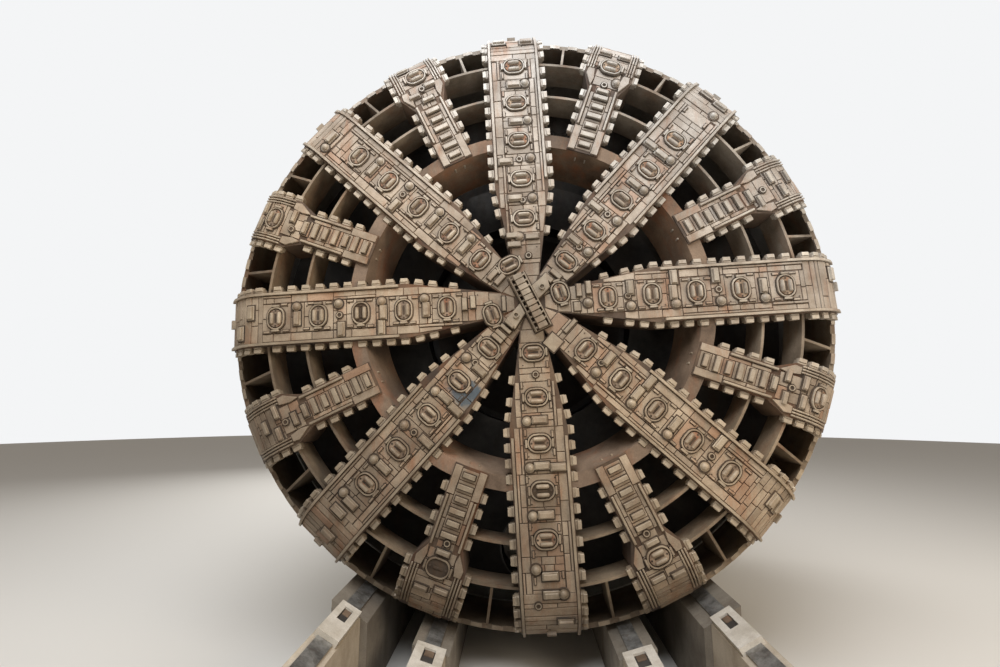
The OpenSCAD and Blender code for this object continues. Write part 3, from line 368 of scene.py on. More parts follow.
# White paint on the steel saddle boxes, dusty.
box_paint = weathered("white_box_paint", "dcd5c8", "bcb3a3", "8b7559", rusty=0.3, patch_m=0.7,
                      grain_mm=20, rough=0.6, pits_mm=0.6)
# Rolled rail steel, polished by sliding loads and spattered with mortar.
rail_steel = weathered("scuffed_rail_steel", "a9a8a3", "6f6d69", "6c5340", rusty=0.4, patch_m=0.3,
                       grain_mm=60, rough=0.4, metal=0.6, pits_mm=0.8)
print(len(bpy.data.materials), "materials in all")

# %% Finishes of the CAD nodes that stay
finishes = {
    soiled_and_shaded_steel: ["main_spokes", "short_spokes", "mixing_bars", "support_legs"],
    ring_steel: ["rim", "ring_plates", "ring_webs"],
    primed_steel: ["box_ring"],
    worn_bar: ["cutter_housings", "edge_bits", "short_spoke_bits", "face_blocks", "edge_rails",
               "centre_bit", "rim_bits"],
    drum_steel: ["drive_drum", "centre_shaft", "bearing_housing"],
    caked_and_shaded_plate: ["bulkhead"],
    shield_paint: ["front_shield", "middle_shield", "tail_skin"],
    inner_paint: ["jack_ring_front", "jack_ring_rear", "erector_guide", "man_locks"],
    motor_paint: ["drive_motors", "jack_barrels", "screw_drive"],
    screw_paint: ["screw_tube"],
    chromed_rod: ["jacks_top", "jacks_right", "jacks_bottom", "jacks_left"],
    screw_steel: ["screw_auger", "screw_gate"],
    erector_paint: ["erector_ring", "erector_carriage", "erector_gripper", "lock_door_left",
                    "lock_door_right"],
    deck_paint: ["decks", "deck_posts"],
    rail_paint: ["deck_rails"],
    wire_brush: ["tail_brushes"],
    old_concrete: ["cradle_walls"],
    new_concrete: ["cradle_front_walls"],
    box_paint: ["cradle_boxes"],
    rail_steel: ["cradle_rails"],
}
for finish, names in finishes.items():
    for name in names:
        nodes[name].data.materials.clear()
        nodes[name].data.materials.append(finish)
print(sum(len(v) for v in finishes.values()), "of", len(nodes), "nodes have a finish")

# %% [markdown]
# ## Building on the head's own axes
# The cutterhead is easiest to build flat: X along a spoke, Y across it and Z out of the face.
# `spoke_at` gives the matrix that carries that to the model's axes for a spoke at any angle.
# A piece is gathered from many small blocks in one bmesh, and one bevel call then takes the
# edge off all of them, which is much quicker than bevelling each.

# %% Sizes of the head, in metres
spin_joint = next(j for j in frame["joints"] if j["name"] == "cutterhead_spin")
HEAD = Matrix.Translation(spin_joint["pos_m"]) @ Matrix.Rotation(math.radians(90), 4, "X")
HEAD_SPIN = 3.284          # how far the head stands turned, in degrees
MAIN_N = 8
MAIN_STEP = 360 / MAIN_N
MAIN_HALF = 0.765          # half the width of a main spoke
TAPER_R = 3.4              # where a main spoke starts to narrow
ROOT_HALF = 0.1915         # its half width at the hub's centre, were it to run so far
SHORT_HALF = 0.46          # half the width of a short spoke, and of its head
SHORT_HEAD_HALF = 0.715
SHORT_IN_R = 4.65          # a short spoke's inner end
FLAT_R = 7.4               # where the spokes bend back
BEND_R = 1.38174           # the bend's radius, its angle, and the flat steps it is made in
BEND_A = math.radians(73.523)
BEND_STEPS = 5
STEP_L = 2 * BEND_R * math.sin(BEND_A / BEND_STEPS / 2)
SUNK = -0.02               # how deep a part's foot sits in the face that carries it
FLAT = Matrix.Identity(4)
MIRROR = Matrix.Diagonal((1, -1, 1, 1))
print("hub axis at", [round(v, 3) for v in spin_joint["pos_m"]])
print("one step of the bend is", round(STEP_L, 3), "m long")

# %% Frames on the spokes


def spoke_at(turn):
    """The frame of the spoke that stands `turn` degrees round from the one at the right."""
    return HEAD @ Matrix.Rotation(math.radians(HEAD_SPIN + turn), 4, "Z")


def half_width(r):
    """Half the width of a main spoke at radius r."""
    return min(MAIN_HALF, ROOT_HALF + (MAIN_HALF - ROOT_HALF) * r / TAPER_R)


def bend_place(place, step):
    """The frame of one flat step of the bend: X along the step from its middle, Z out of it."""
    a0, a1 = BEND_A * step / BEND_STEPS, BEND_A * (step + 1) / BEND_STEPS
    p0 = Vector((FLAT_R + BEND_R * math.sin(a0), 0, -BEND_R * (1 - math.cos(a0))))
    p1 = Vector((FLAT_R + BEND_R * math.sin(a1), 0, -BEND_R * (1 - math.cos(a1))))
    return place @ Matrix.Translation((p0 + p1) / 2) @ Matrix.Rotation((a0 + a1) / 2, 4, "Y")


def on_spoke(k, run, across=0.0, lift=0.0):
    """A place on spoke k, or k + 0.5 for a short one; run goes along it and on round the bend."""
    at = spoke_at(k * MAIN_STEP)
    if run > FLAT_R:
        step = min(int((run - FLAT_R) / STEP_L), BEND_STEPS - 1)
        at = bend_place(at, step)
        run = run - FLAT_R - (step + 0.5) * STEP_L
    return at @ Matrix.Translation((run, 0, 0)) @ Matrix.Translation((0, across, lift))


last_step = bend_place(FLAT, BEND_STEPS - 1).translation
print("the last step of the bend is at", [round(v, 2) for v in last_step], "from the hub")

# %% Small builders


def block(bm, place, low, high, taper=1.0):
    """A block between two corners in the frame place; taper narrows its outer Y side along X."""
    low, high = Vector(low), Vector(high)
    size = high - low
    made = bmesh.ops.create_cube(bm, size=1.0)
    for v in made["verts"]:
        if v.co.y > 0:
            v.co.x *= taper
    bmesh.ops.transform(bm, verts=made["verts"], matrix=place @ Matrix.Translation((low + high) / 2)
                        @ Matrix.Diagonal((size.x, size.y, size.z, 1.0)))


def slab(bm, place, half_x, half_y, low, high):
    """A block over the middle of the frame place, given by half its length and half its width."""
    block(bm, place, (-half_x, -half_y, low), (half_x, half_y, high))


def round_bar(bm, place, centre, length, width, height):
    """A bar with a rounded back and ends that lies along Y: a ball pulled out in its middle."""
    made = bmesh.ops.create_uvsphere(bm, u_segments=12, v_segments=6, radius=0.5)
    straight = (length - width) / 2
    for v in made["verts"]:
        v.co.z += 0.0 if abs(v.co.z) < 1e-6 else math.copysign(straight / width, v.co.z)
    bmesh.ops.transform(bm, verts=made["verts"], matrix=place @ Matrix.Translation(centre)
                        @ Matrix.Diagonal((1.0, 1.0, 2 * height / width, 1.0))
                        @ Matrix.Rotation(math.radians(90), 4, "X") @ Matrix.Scale(width, 4))


def disc(bm, place, foot, r, h, segments=20, r_top=None):
    """A disc or a blunt cone that stands on its foot."""
    middle = Vector(foot) + Vector((0, 0, h / 2))
    bmesh.ops.create_cone(bm, cap_ends=True, segments=segments, radius1=r,
                          radius2=r if r_top is None else r_top, depth=h,
                          matrix=place @ Matrix.Translation(middle))


def prism(bm, place, corners, low, high):
    """A plate of any outline: its corners become a face, which is extruded."""
    verts = [bm.verts.new(place @ Vector((x, y, low))) for x, y in corners]
    face = bmesh.ops.contextual_create(bm, geom=verts)["faces"][0]
    grown = bmesh.ops.extrude_face_region(bm, geom=[face], use_keep_orig=True)
    moved = [g for g in grown["geom"] if isinstance(g, bmesh.types.BMVert)]
    bmesh.ops.translate(bm, verts=moved, vec=place.to_3x3() @ Vector((0, 0, high - low)))


def oval(bm, length, width, low, high, spread=0.0, segments=24):
    """A flat oval that lies across X; spread widens its foot. Returns its top face."""
    made = bmesh.ops.create_cone(bm, cap_ends=True, segments=segments, radius1=width / 2 + spread,
                                 radius2=width / 2, depth=high - low,
                                 matrix=Matrix.Translation((0, 0, (high + low) / 2)))
    for v in made["verts"]:
        v.co.y += 0.0 if abs(v.co.y) < 1e-5 else math.copysign((length - width) / 2, v.co.y)
    return top_face(made)


def soften(bm, edge):
    """Takes the edge off everything that the bmesh holds."""
    bmesh.ops.bevel(bm, geom=bm.edges[:], offset=edge, offset_type="OFFSET", affect="EDGES",
                    segments=1, profile=0.5, material=-1, clamp_overlap=True)


def top_face(made):
    """The highest face of what a create_ operator has just made."""
    faces = (f for v in made["verts"] for f in v.link_faces)
    return max(faces, key=lambda f: f.calc_center_median().z)


# %% Templates and finished pieces


def template(build, edge=0.0):
    """A mesh made by build(bm) round the origin, to be placed many times with stamp."""
    bm = bmesh.new()
    build(bm)
    if edge:
        soften(bm, edge)
    bmesh.ops.recalc_face_normals(bm, faces=bm.faces[:])
    mesh = bpy.data.meshes.new("template")
    bm.to_mesh(mesh)
    bm.free()
    return mesh


def stamp(bm, mesh, matrix):
    """Adds a copy of a template to a bmesh, carried by a matrix."""
    copy = mesh.copy()
    copy.transform(matrix)
    bm.from_mesh(copy)
    bpy.data.meshes.remove(copy)


def piece(name, bm, finish, body):
    """Turns a finished bmesh into a piece that rides on a body."""
    bmesh.ops.recalc_face_normals(bm, faces=bm.faces[:])
    open_edges = sum(not e.is_manifold for e in bm.edges)
    mesh = bpy.data.meshes.new(name)
    bm.to_mesh(mesh)
    bm.free()
    mesh.materials.append(finish)
    made = bpy.data.objects.new(name, mesh)
    scene.collection.objects.link(made)
    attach(made, body)
    triangles = sum(len(p.vertices) - 2 for p in mesh.polygons)
    print(f"{name}: {triangles} triangles, {open_edges} open edges")
    return made


# %% [markdown]
# ## Packed soil and painted shade
# Damp soil stays in the corner round every raised part, where the corner is also in shade, and a
# dark line is drawn there for both: partly soil, partly painted shade. It is made as thin dark
# feet, a little wider than the part and just over the plates around it. Painting it in the material
# would need a mask for each part, and thin feet are simpler.

# %% The bmesh of the soil and the painted shade
soil_and_shade = bmesh.new()
SOIL_AND_SHADE_FOOT, SOIL_AND_SHADE_TOP = -0.03, 0.044
print("soil stands", SOIL_AND_SHADE_TOP, "m over the face")


def soil_and_shade_block(place, half_x, half_y, edge=0.026):
    """The soil and painted shade round a block: its dark foot shows for `edge` on every side."""
    slab(soil_and_shade, place, half_x + edge, half_y + edge, SOIL_AND_SHADE_FOOT, SOIL_AND_SHADE_TOP)


# %% [markdown]
# ## Wear plates on the main spokes
# The spokes' faces are armoured with plates that are cut to fit round the cutters and welded
# on with open seams. Each cutter has one stretch of spoke: a square field round the cutter, a
# band of cross plates for the next gap, and rows of narrow strips along both edges. The rows
# are cut at seeded places and in seeded thicknesses, so that no two stretches match.

# %% Wear plates, main spokes
ROWS = [
    # sets of rows, each row given by: across from, to; number of strips; thinnest, thickest
    [(0.425, 0.652, 2, 0.016, 0.030)],
    [(0.425, 0.500, 2, 0.030, 0.060), (0.505, 0.652, 2, 0.014, 0.028)],
    [(0.425, 0.575, 3, 0.016, 0.034), (0.580, 0.652, 1, 0.030, 0.050)],
]
SEAM = 0.011               # half the open seam between two plates
PLATE_EDGE = 0.006         # the bevel of a flame-cut edge
FIELD_X, FIELD_Y = 0.41, 0.415         # half the square field round a cutter
OVAL_R, OVAL_PITCH, OVAL_N = 7.17, 1.18769, 5      # a spoke's outermost cutter, spacing, number
# Each spoke's row of cutters is shifted inwards by ROW_STEP times its number in ROW_ORDER, so
# that together the cutters sweep the whole face.
ROW_STEP = 0.148462
ROW_ORDER = [2, 6, 0, 4, 1, 5, 7, 3]
PLUGS = ((-0.31, 0.33), (-0.31, -0.33), (0.33, -0.30))     # places off the cutter's middle
WEAR_IN_R = 1.12           # inside this radius the hub has plates of its own
TAB_IN_R, TAB_OUT_R = 1.3, FLAT_R - 0.1            # plugs and tabs stay between these
dice = random.Random(31)


def oval_at(k, i):
    """The radius at which cutter i of spoke k stands; halves give the gaps between."""
    return OVAL_R - ROW_STEP * ROW_ORDER[k] - OVAL_PITCH * i


def split(low, high, n):
    """Splits a length at n - 1 seeded places."""
    steps = [dice.uniform(0.5, 1.5) for _ in range(n)]
    ends = [low]
    for step in steps:
        ends.append(ends[-1] + (high - low) * step / sum(steps))
    return list(zip(ends, ends[1:]))


def wear(bm, place, x0, x1, y0, y1, thick):
    """One plate, kept between the hub and the bend and cut along the spoke's edges."""
    x0, x1 = max(x0 + SEAM, WEAR_IN_R), min(x1 - SEAM, FLAT_R)
    if x1 - x0 < 0.06:
        return
    near, far = half_width(x0) - 0.025, half_width(x1) - 0.025
    a0, b0 = max(y0 + SEAM, -near), min(y1 - SEAM, near)
    a1, b1 = max(y0 + SEAM, -far), min(y1 - SEAM, far)
    if b0 - a0 > 0.04:
        prism(bm, place, [(x0, a0), (x1, a1), (x1, b1), (x0, b0)], SUNK, thick)


bm = bmesh.new()
for k in range(MAIN_N):
    place = spoke_at(k * MAIN_STEP)
    for i in range(-1, OVAL_N + 1):
        c = oval_at(k, i)
        gap_end = c + OVAL_PITCH - FIELD_X
        wear(bm, place, c - FIELD_X, c, -FIELD_Y, FIELD_Y, dice.uniform(0.020, 0.030))
        for y0, y1 in ((-FIELD_Y, 0.0), (0.0, FIELD_Y)):
            wear(bm, place, c, c + FIELD_X, y0, y1, dice.uniform(0.020, 0.032))
        for x0, x1 in split(c + FIELD_X, gap_end, 2):
            for y0, y1 in split(-FIELD_Y, FIELD_Y, dice.choice((1, 2, 2, 3))):
                wear(bm, place, x0, x1, y0, y1, dice.uniform(0.020, 0.038))
        for side in (-1, 1):
            for y0, y1, n, thin, thick in dice.choice(ROWS):
                for x0, x1 in split(c - FIELD_X, gap_end, n):
                    ya, yb = (y0, y1) if side > 0 else (-y1, -y0)
                    wear(bm, place, x0, x1, ya, yb, dice.uniform(thin, thick))
        # plug holes, drawn as dark discs: soil in them and painted shade
        for x, y in PLUGS:
            if abs(y) < half_width(c + x) - 0.12 and TAB_IN_R < c + x < TAB_OUT_R:
                disc(soil_and_shade, place, (c + x, y, SUNK), 0.019, 0.056, segments=8)
        # short tabs that were welded on the plates later, each with a dark foot of soil and painted
        # shade
        for side in (-1, 1):
            for x in (dice.uniform(-0.36, -0.22), dice.uniform(0.20, 0.34)):
                y = side * dice.uniform(0.33, 0.39)
                if abs(y) < half_width(c + x - 0.1) - 0.1 and TAB_IN_R < c + x < TAB_OUT_R:
                    wear(bm, place, c + x - 0.09, c + x + 0.09, y - 0.035, y + 0.035, 0.062)
                    soil_and_shade_block(place @ Matrix.Translation((c + x, y, 0)), 0.077, 0.022, 0.02)
soften(bm, PLATE_EDGE)
piece("wear_plates", bm, wear_plate, "cutterhead")

# %% [markdown]
# ## Strips round the bent ends
# Near the rim a spoke's face bends back in flat steps. Each step carries transverse strips,
# so the strips are made flat, then turned and moved by the angle of their own step.

# %% Strips on the bent ends
bm = bmesh.new()
for k in range(2 * MAIN_N):
    # beside the rails of a main spoke, and beside the ridges of a short one
    half = (MAIN_HALF if k % 2 == 0 else SHORT_HEAD_HALF - 0.14) - 0.10
    for step in range(BEND_STEPS):
        at = bend_place(spoke_at(k * MAIN_STEP / 2), step)
        for x0, x1 in split(-STEP_L / 2, STEP_L / 2, 2):
            for y0, y1 in split(-half, half, dice.choice((1, 2, 3))):
                end, thick = x1 - SEAM, dice.uniform(0.016, 0.036)
                if step == BEND_STEPS - 1:
                    # the last step ends at the rim, where the ground leaves no room for more
                    end, thick = min(end, 0.07), 0.018
                if end - x0 > 0.06:
                    block(bm, at, (x0 + SEAM, y0 + SEAM, SUNK), (end, y1 - SEAM, thick))
soften(bm, PLATE_EDGE)
piece("bend_strips", bm, wear_plate, "cutterhead")

# %% [markdown]
# ## Edge rails
# A square rail runs along both edges of a main spoke and follows the bend. A square of its
# section is extruded along the straight part, and spin then takes it round the bend. A curve
# with a bevel would do too, but would need a taper to end square.

# %% Edge rails
RAIL_IN = 0.065            # from the spoke's edge to the rail's middle
RAIL_W = 0.066
RAIL_H = 0.085
RAIL_R = 3.60              # where a rail starts
RAIL_STEPS = 4             # how many steps of the bend it follows


def edge_rail(bm, place, start, across, steps):
    """One rail: straight from start to the bend, then round the first steps of the bend."""
    section = bmesh.ops.create_grid(bm, x_segments=1, y_segments=1, size=0.5, matrix=place
                                    @ Matrix.Translation((start, across, RAIL_H / 2 - 0.01))
                                    @ Matrix.Rotation(math.radians(90), 4, "Y")
                                    @ Matrix.Diagonal((RAIL_H + 0.02, RAIL_W, 1.0, 1.0)))
    face = section["verts"][0].link_faces[0]
    grown = bmesh.ops.extrude_face_region(bm, geom=[face], use_keep_orig=True)
    moved = [g for g in grown["geom"] if isinstance(g, bmesh.types.BMVert)]
    turn = place.to_3x3()
    bmesh.ops.translate(bm, verts=moved, vec=turn @ Vector((FLAT_R - start, 0, 0)))
    front = [g for g in grown["geom"] if isinstance(g, bmesh.types.BMFace)]
    centre = place @ Vector((FLAT_R, across, -BEND_R))
    bmesh.ops.spin(bm, geom=front, cent=centre, axis=turn @ Vector((0, 1, 0)),
                   angle=BEND_A * steps / BEND_STEPS, steps=steps, use_merge=False)


bm = bmesh.new()
for k in range(MAIN_N):
    for side in (-1, 1):
        edge_rail(bm, spoke_at(k * MAIN_STEP), RAIL_R, side * (MAIN_HALF - RAIL_IN), RAIL_STEPS)
rails = piece("edge_rails_round", bm, worn_bar, "cutterhead")
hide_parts("edge_rails")

# %% [markdown]
# ## Cutters in their housings
# Each cutter sits in a forged oval housing let into the face: a raised lip, a groove that is dark
# with soil and painted shade, a stained seat, two round-backed hard bars across the spoke and a key
# block at either end. Each is made once as templates, one for each finish, and a matrix carries
# every copy.

# %% The cutter's templates
OVAL_L, OVAL_W, OVAL_H, LIP = 0.63, 0.48, 0.070, 0.034
KEYS = (-0.345, 0.345)     # the key blocks' places across the spoke


def lip_shape(bm):
    """The housing's wall, with a pocket sunk into its top."""
    top = oval(bm, OVAL_L, OVAL_W, SUNK, OVAL_H, spread=0.012)
    bmesh.ops.inset_region(bm, faces=[top], thickness=LIP, depth=0.0, use_even_offset=True)
    bmesh.ops.inset_region(bm, faces=[top], thickness=0.004, depth=-OVAL_H, use_even_offset=True)
    for y in KEYS:
        block(bm, FLAT, (-0.10, y - 0.026, SUNK), (0.10, y + 0.026, 0.085))


def bars_shape(bm):
    """The two round-backed bars."""
    for x in (-0.104, 0.104):
        round_bar(bm, FLAT, (x, 0, 0.060), 0.34, 0.118, 0.072)


def cutter_soil_and_shade(bm):
    """Soil and painted shade, dark round the housing and the keys, in the groove, and between the
    two bars.
    """
    oval(bm, OVAL_L + 0.07, OVAL_W + 0.07, -0.03, 0.034, segments=20)
    oval(bm, OVAL_L - 2 * LIP - 0.012, OVAL_W - 2 * LIP - 0.012, -0.01, 0.030, segments=20)
    for y in KEYS:
        block(bm, FLAT, (-0.125, y - 0.05, -0.03), (0.125, y + 0.05, 0.034))
    for y in (-0.21, 0.21):
        disc(bm, FLAT, (0, y, 0.0), 0.028, 0.064, segments=8)
    slab(bm, FLAT, 0.024, 0.13, 0.0, 0.063)


def seat_shape(bm):
    """The stained floor of the pocket."""
    oval(bm, OVAL_L - 2 * LIP - 0.07, OVAL_W - 2 * LIP - 0.07, 0.0, 0.058, segments=20)


lip, bars = template(lip_shape, 0.004), template(bars_shape)
ring_soil_and_shade, seat = template(cutter_soil_and_shade), template(seat_shape)
layers = {"steel": bmesh.new(), "soil_and_shade": soil_and_shade, "seat": bmesh.new()}


def plant(form, matrix):
    """Places each template of a form in the bmesh of its own finish."""
    for layer, mesh in form.items():
        stamp(layers[layer], mesh, matrix)


steel_of_cutter = template(lambda bm: (bm.from_mesh(lip), bm.from_mesh(bars)))
cutter = {"steel": steel_of_cutter, "soil_and_shade": ring_soil_and_shade, "seat": seat}
open_cutter = {"steel": steel_of_cutter, "soil_and_shade": ring_soil_and_shade}
empty_housing = {"steel": lip, "soil_and_shade": ring_soil_and_shade}
print(len(steel_of_cutter.polygons), "faces in a cutter's steel")

# %% Cutters in their places
HUB_CUTTERS = [(-0.493, 1.086, 114.4), (0.842, 0.211, 14.1), (-1.038, -0.288, 195.5)]   # x, y, turn
OPEN = {(4, 2), (6, 1)}    # spoke and number of the cutters that have lost their seat
EMPTY_HEAD = 5             # the short spoke whose head has an empty housing
SHORT_CUTTERS = [None, 7.45, 7.68, 7.72, None, 7.22, 7.22, 7.92]   # where each short head's sits
for k in range(MAIN_N):
    for i in range(OVAL_N):
        plant(open_cutter if (k, i) in OPEN else cutter, on_spoke(k, oval_at(k, i), lift=0.015))
    if SHORT_CUTTERS[k]:
        form = empty_housing if k == EMPTY_HEAD else cutter
        plant(form, on_spoke(k + 0.5, SHORT_CUTTERS[k], lift=0.020))
for x, y, turn in HUB_CUTTERS:
    plant(cutter, spoke_at(0) @ Matrix.Translation((x, y, 0.015))
          @ Matrix.Rotation(math.radians(turn), 4, "Z"))
cutters = piece("cutters", layers["steel"], worn_bar, "cutterhead")
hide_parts("cutter_housings")
piece("cutter_seats", layers["seat"], seat_steel, "cutterhead")

# %% [markdown]
# ## Domes, bars and rings between the cutters
# Between two cutters the face carries a wear dome on a round foot, one or two hard bars on
# their pads, and a small welded ring. They are templates too, each with a dark foot of soil and
# painted shade, and a table names what stands in each gap of each spoke as the photograph shows it.

# %% Domes, bars and rings


def dome_shape(bm):
    """A round foot with a flattened ball on it."""
    disc(bm, FLAT, (0, 0, -0.01), 0.135, 0.060, segments=16, r_top=0.120)
    ball = bmesh.ops.create_uvsphere(bm, u_segments=16, v_segments=8, radius=0.104)
    for v in ball["verts"]:
        v.co.z = 0.045 + max(v.co.z, -0.02) * 0.85


def bar_shape(bm):
    """A hard bar on its pad, which lies across the spoke."""
    slab(bm, FLAT, 0.100, 0.205, SUNK, 0.058)
    slab(bm, FLAT, 0.070, 0.175, 0.03, 0.125)


def slim_shape(bm):
    """The smaller bar of the short spokes' heads."""
    slab(bm, FLAT, 0.078, 0.190, SUNK, 0.045)
    slab(bm, FLAT, 0.054, 0.165, 0.03, 0.110)


def ring_shape(bm):
    """A welded ring with an open middle."""
    made = bmesh.ops.create_cone(bm, cap_ends=True, segments=14, radius1=0.088, radius2=0.080,
                                 depth=0.13)
    top = top_face(made)
    bmesh.ops.inset_region(bm, faces=[top], thickness=0.024, depth=0.0)
    bmesh.ops.inset_region(bm, faces=[top], thickness=0.002, depth=-0.06)


BAR_EDGE = 0.014           # bars are forged with rounder edges than the plates
dome = {"steel": template(dome_shape),
        "soil_and_shade": template(lambda bm: disc(bm, FLAT, (0, 0, -0.03), 0.165, 0.07, 16))}
bar = {"steel": template(bar_shape, BAR_EDGE),
       "soil_and_shade": template(lambda bm: slab(bm, FLAT, 0.13, 0.235, -0.03, 0.040))}
slim = {"steel": template(slim_shape, BAR_EDGE),
        "soil_and_shade": template(lambda bm: slab(bm, FLAT, 0.105, 0.215, -0.03, 0.040))}
ring = {"steel": template(ring_shape),
        "soil_and_shade": template(lambda bm: (disc(bm, FLAT, (0, 0, -0.03), 0.112, 0.07, 14),
                                     disc(bm, FLAT, (0, 0, 0.0), 0.054, 0.045, 12)))}
print("the dome, bar, slim bar and ring have",
      [len(form["steel"].polygons) for form in (dome, bar, slim, ring)], "faces")

# %% Which form stands in which gap
GAPS = {
    # what stands in a gap: form, along and across from its middle
    "A": [(dome, 0.02, -0.29), (bar, 0.0, 0.04)],
    "B": [(dome, 0.03, -0.30), (ring, 0.0, 0.02), (bar, -0.04, 0.42)],
    "C": [(dome, 0.02, -0.29), (bar, -0.02, 0.02), (bar, 0.03, 0.44)],
    "D": [(dome, 0.0, -0.28), (ring, -0.06, 0.0), (bar, 0.02, 0.22)],
}
# spokes 0 to 7, outer gap first
ON_SPOKE = ["ABCD", "CABD", "AABD", "ABAC", "ABCC", "ABCD", "ACAB", "BACD"]
FORM_LIFT = 0.012          # the forms stand on the plates, not on the spoke
# piece() has freed the bmesh of the cutters, so this piece and each later one starts anew
layers["steel"] = bmesh.new()
for k, row in enumerate(ON_SPOKE):
    for i, name in enumerate(row):
        mid = oval_at(k, i + 0.5)
        for form, along, across in GAPS[name]:
            if abs(across) < half_width(mid) - 0.24:
                plant(form, on_spoke(k, mid + along, across, FORM_LIFT))
print(len(layers["steel"].faces), "faces between the cutters")

# %% What stands on the spokes' outer ends
ENDS = [
    # spoke, form, run along the spoke, across
    (6, dome, 6.83, -0.30), (6, bar, 7.00, 0.04), (6, bar, 7.42, 0.04), (6, dome, 7.42, 0.34),
    (6, ring, 7.68, -0.30), (6, bar, 8.13, 0.36), (5, dome, 6.98, -0.30), (5, bar, 7.05, 0.02),
    (5, bar, 7.40, -0.08), (5, bar, 8.05, 0.10), (7, bar, 7.98, 0.20), (7, bar, 8.22, 0.18),
    (3, bar, 7.62, 0.10), (3, dome, 7.55, 0.45), (1, dome, 7.58, -0.36), (1, bar, 8.05, -0.30),
    (1, bar, 8.12, 0.20), (0, bar, 8.35, 0.32), (2, bar, 8.10, -0.42), (2, bar, 8.12, 0.40),
    (4, bar, 8.10, 0.34), (4, bar, 7.75, -0.20),
]
for k, form, run, across in ENDS:
    plant(form, on_spoke(k, run, across, FORM_LIFT))
GAUGE_RUN = 8.64           # a gauge block stands here on each spoke, and cuts the rim's radius
for k in range(MAIN_N):
    block(layers["steel"], on_spoke(k, GAUGE_RUN), (-0.09, -0.12, SUNK), (0.07, 0.12, 0.120))
between = piece("domes_and_bars", layers["steel"], worn_bar, "cutterhead")
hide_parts("face_blocks")

# %% [markdown]
# ## Teeth along the edges
# Scraper teeth stand out sideways from both edges of every spoke and throw the loosened
# ground towards the gaps. Each is a forged holder with a brighter hard tip along its outer
# edge. The CAD holds the holders' boxes, and these pieces replace them.

# %% Edge teeth
TOOTH_L, TOOTH_OUT, TOOTH_H = 0.25, 0.165, 0.21    # along the edge, out of it, down its side
BIT_R, BIT_PITCH, BIT_N = 3.455, 0.398, 10         # a main spoke's first tooth, spacing, number
BIT_BELOW = 0.035          # from the face down to a tooth's top
SHORT_BIT_R, SHORT_BIT_N = 5.3, 4
HEAD_BIT_R = 7.3           # the tooth beside a short spoke's head
BEND_BIT_STEPS = (0, 1, 2, 3)          # the steps of the bend that carry a tooth
TAPER_BACK = [0.39, 0.78, 1.36]        # distances back along the tapered edge from the first tooth
TAPER_ANGLE = math.degrees(math.atan((MAIN_HALF - ROOT_HALF) / TAPER_R))


def holder_shape(bm):
    """X along the spoke, Y outwards from its side, Z out of the face; the top is at zero."""
    block(bm, FLAT, (-TOOTH_L / 2, -0.02, -TOOTH_H), (TOOTH_L / 2, TOOTH_OUT - 0.045, -0.012),
          taper=0.97)
    block(bm, FLAT, (-TOOTH_L / 2 + 0.02, -0.02, -0.03), (TOOTH_L / 2 - 0.02, 0.045, 0.004))


def tip_shape(bm):
    """The hard insert over the holder's outer edge."""
    block(bm, FLAT, (-TOOTH_L / 2 + 0.022, 0.060, -0.15), (TOOTH_L / 2 - 0.022, TOOTH_OUT, 0.012))


holder, tip = template(holder_shape, 0.007), template(tip_shape, 0.007)
edge_layers = {"holder": bmesh.new(), "tip": bmesh.new()}
short_layers = {"holder": bmesh.new(), "tip": bmesh.new()}


def tooth_at(into, place, r, across, side, lean=0.0, down=BIT_BELOW):
    """A tooth on one side of a spoke; lean turns it along a tapered edge."""
    flip = MIRROR if side < 0 else FLAT
    at = (place @ flip @ Matrix.Translation((r, across, -down))
          @ Matrix.Rotation(math.radians(lean), 4, "Z"))
    stamp(into["holder"], holder, at)
    stamp(into["tip"], tip, at)


for k in range(MAIN_N):
    place = spoke_at(k * MAIN_STEP)
    for side in (-1, 1):
        for i in range(BIT_N):
            tooth_at(edge_layers, place, BIT_R + BIT_PITCH * i, MAIN_HALF, side)
        for back in TAPER_BACK:
            r = BIT_R - back
            lean = TAPER_ANGLE if r < TAPER_R - 0.1 else 0.0
            tooth_at(edge_layers, place, r, half_width(r), side, lean)
        for step in BEND_BIT_STEPS:
            tooth_at(edge_layers, bend_place(place, step), 0.0, MAIN_HALF, side, down=0.02)
    place = spoke_at((k + 0.5) * MAIN_STEP)
    for side in (-1, 1):
        for i in range(SHORT_BIT_N):
            tooth_at(short_layers, place, SHORT_BIT_R + BIT_PITCH * i, SHORT_HALF, side)
        tooth_at(short_layers, place, HEAD_BIT_R, SHORT_HEAD_HALF, side)
        for step in BEND_BIT_STEPS:
            tooth_at(short_layers, bend_place(place, step), 0.05, SHORT_HEAD_HALF, side, down=0.02)
edge_teeth = piece("edge_teeth", edge_layers["holder"], worn_bar, "cutterhead")
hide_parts("edge_bits")
piece("edge_tips", edge_layers["tip"], tooth_tip, "cutterhead")
short_teeth = piece("short_teeth", short_layers["holder"], worn_bar, "cutterhead")
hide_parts("short_spoke_bits")
piece("short_tips", short_layers["tip"], tooth_tip, "cutterhead")

# %% [markdown]
# ## Short spokes
# A short spoke has a narrow body with a ladder of hard bars down its middle, flat plates and
# rails beside it, and a wider head with a cutter. Wedge plates fill the flare between the two,
# and three ridges on either side run on round the bend.

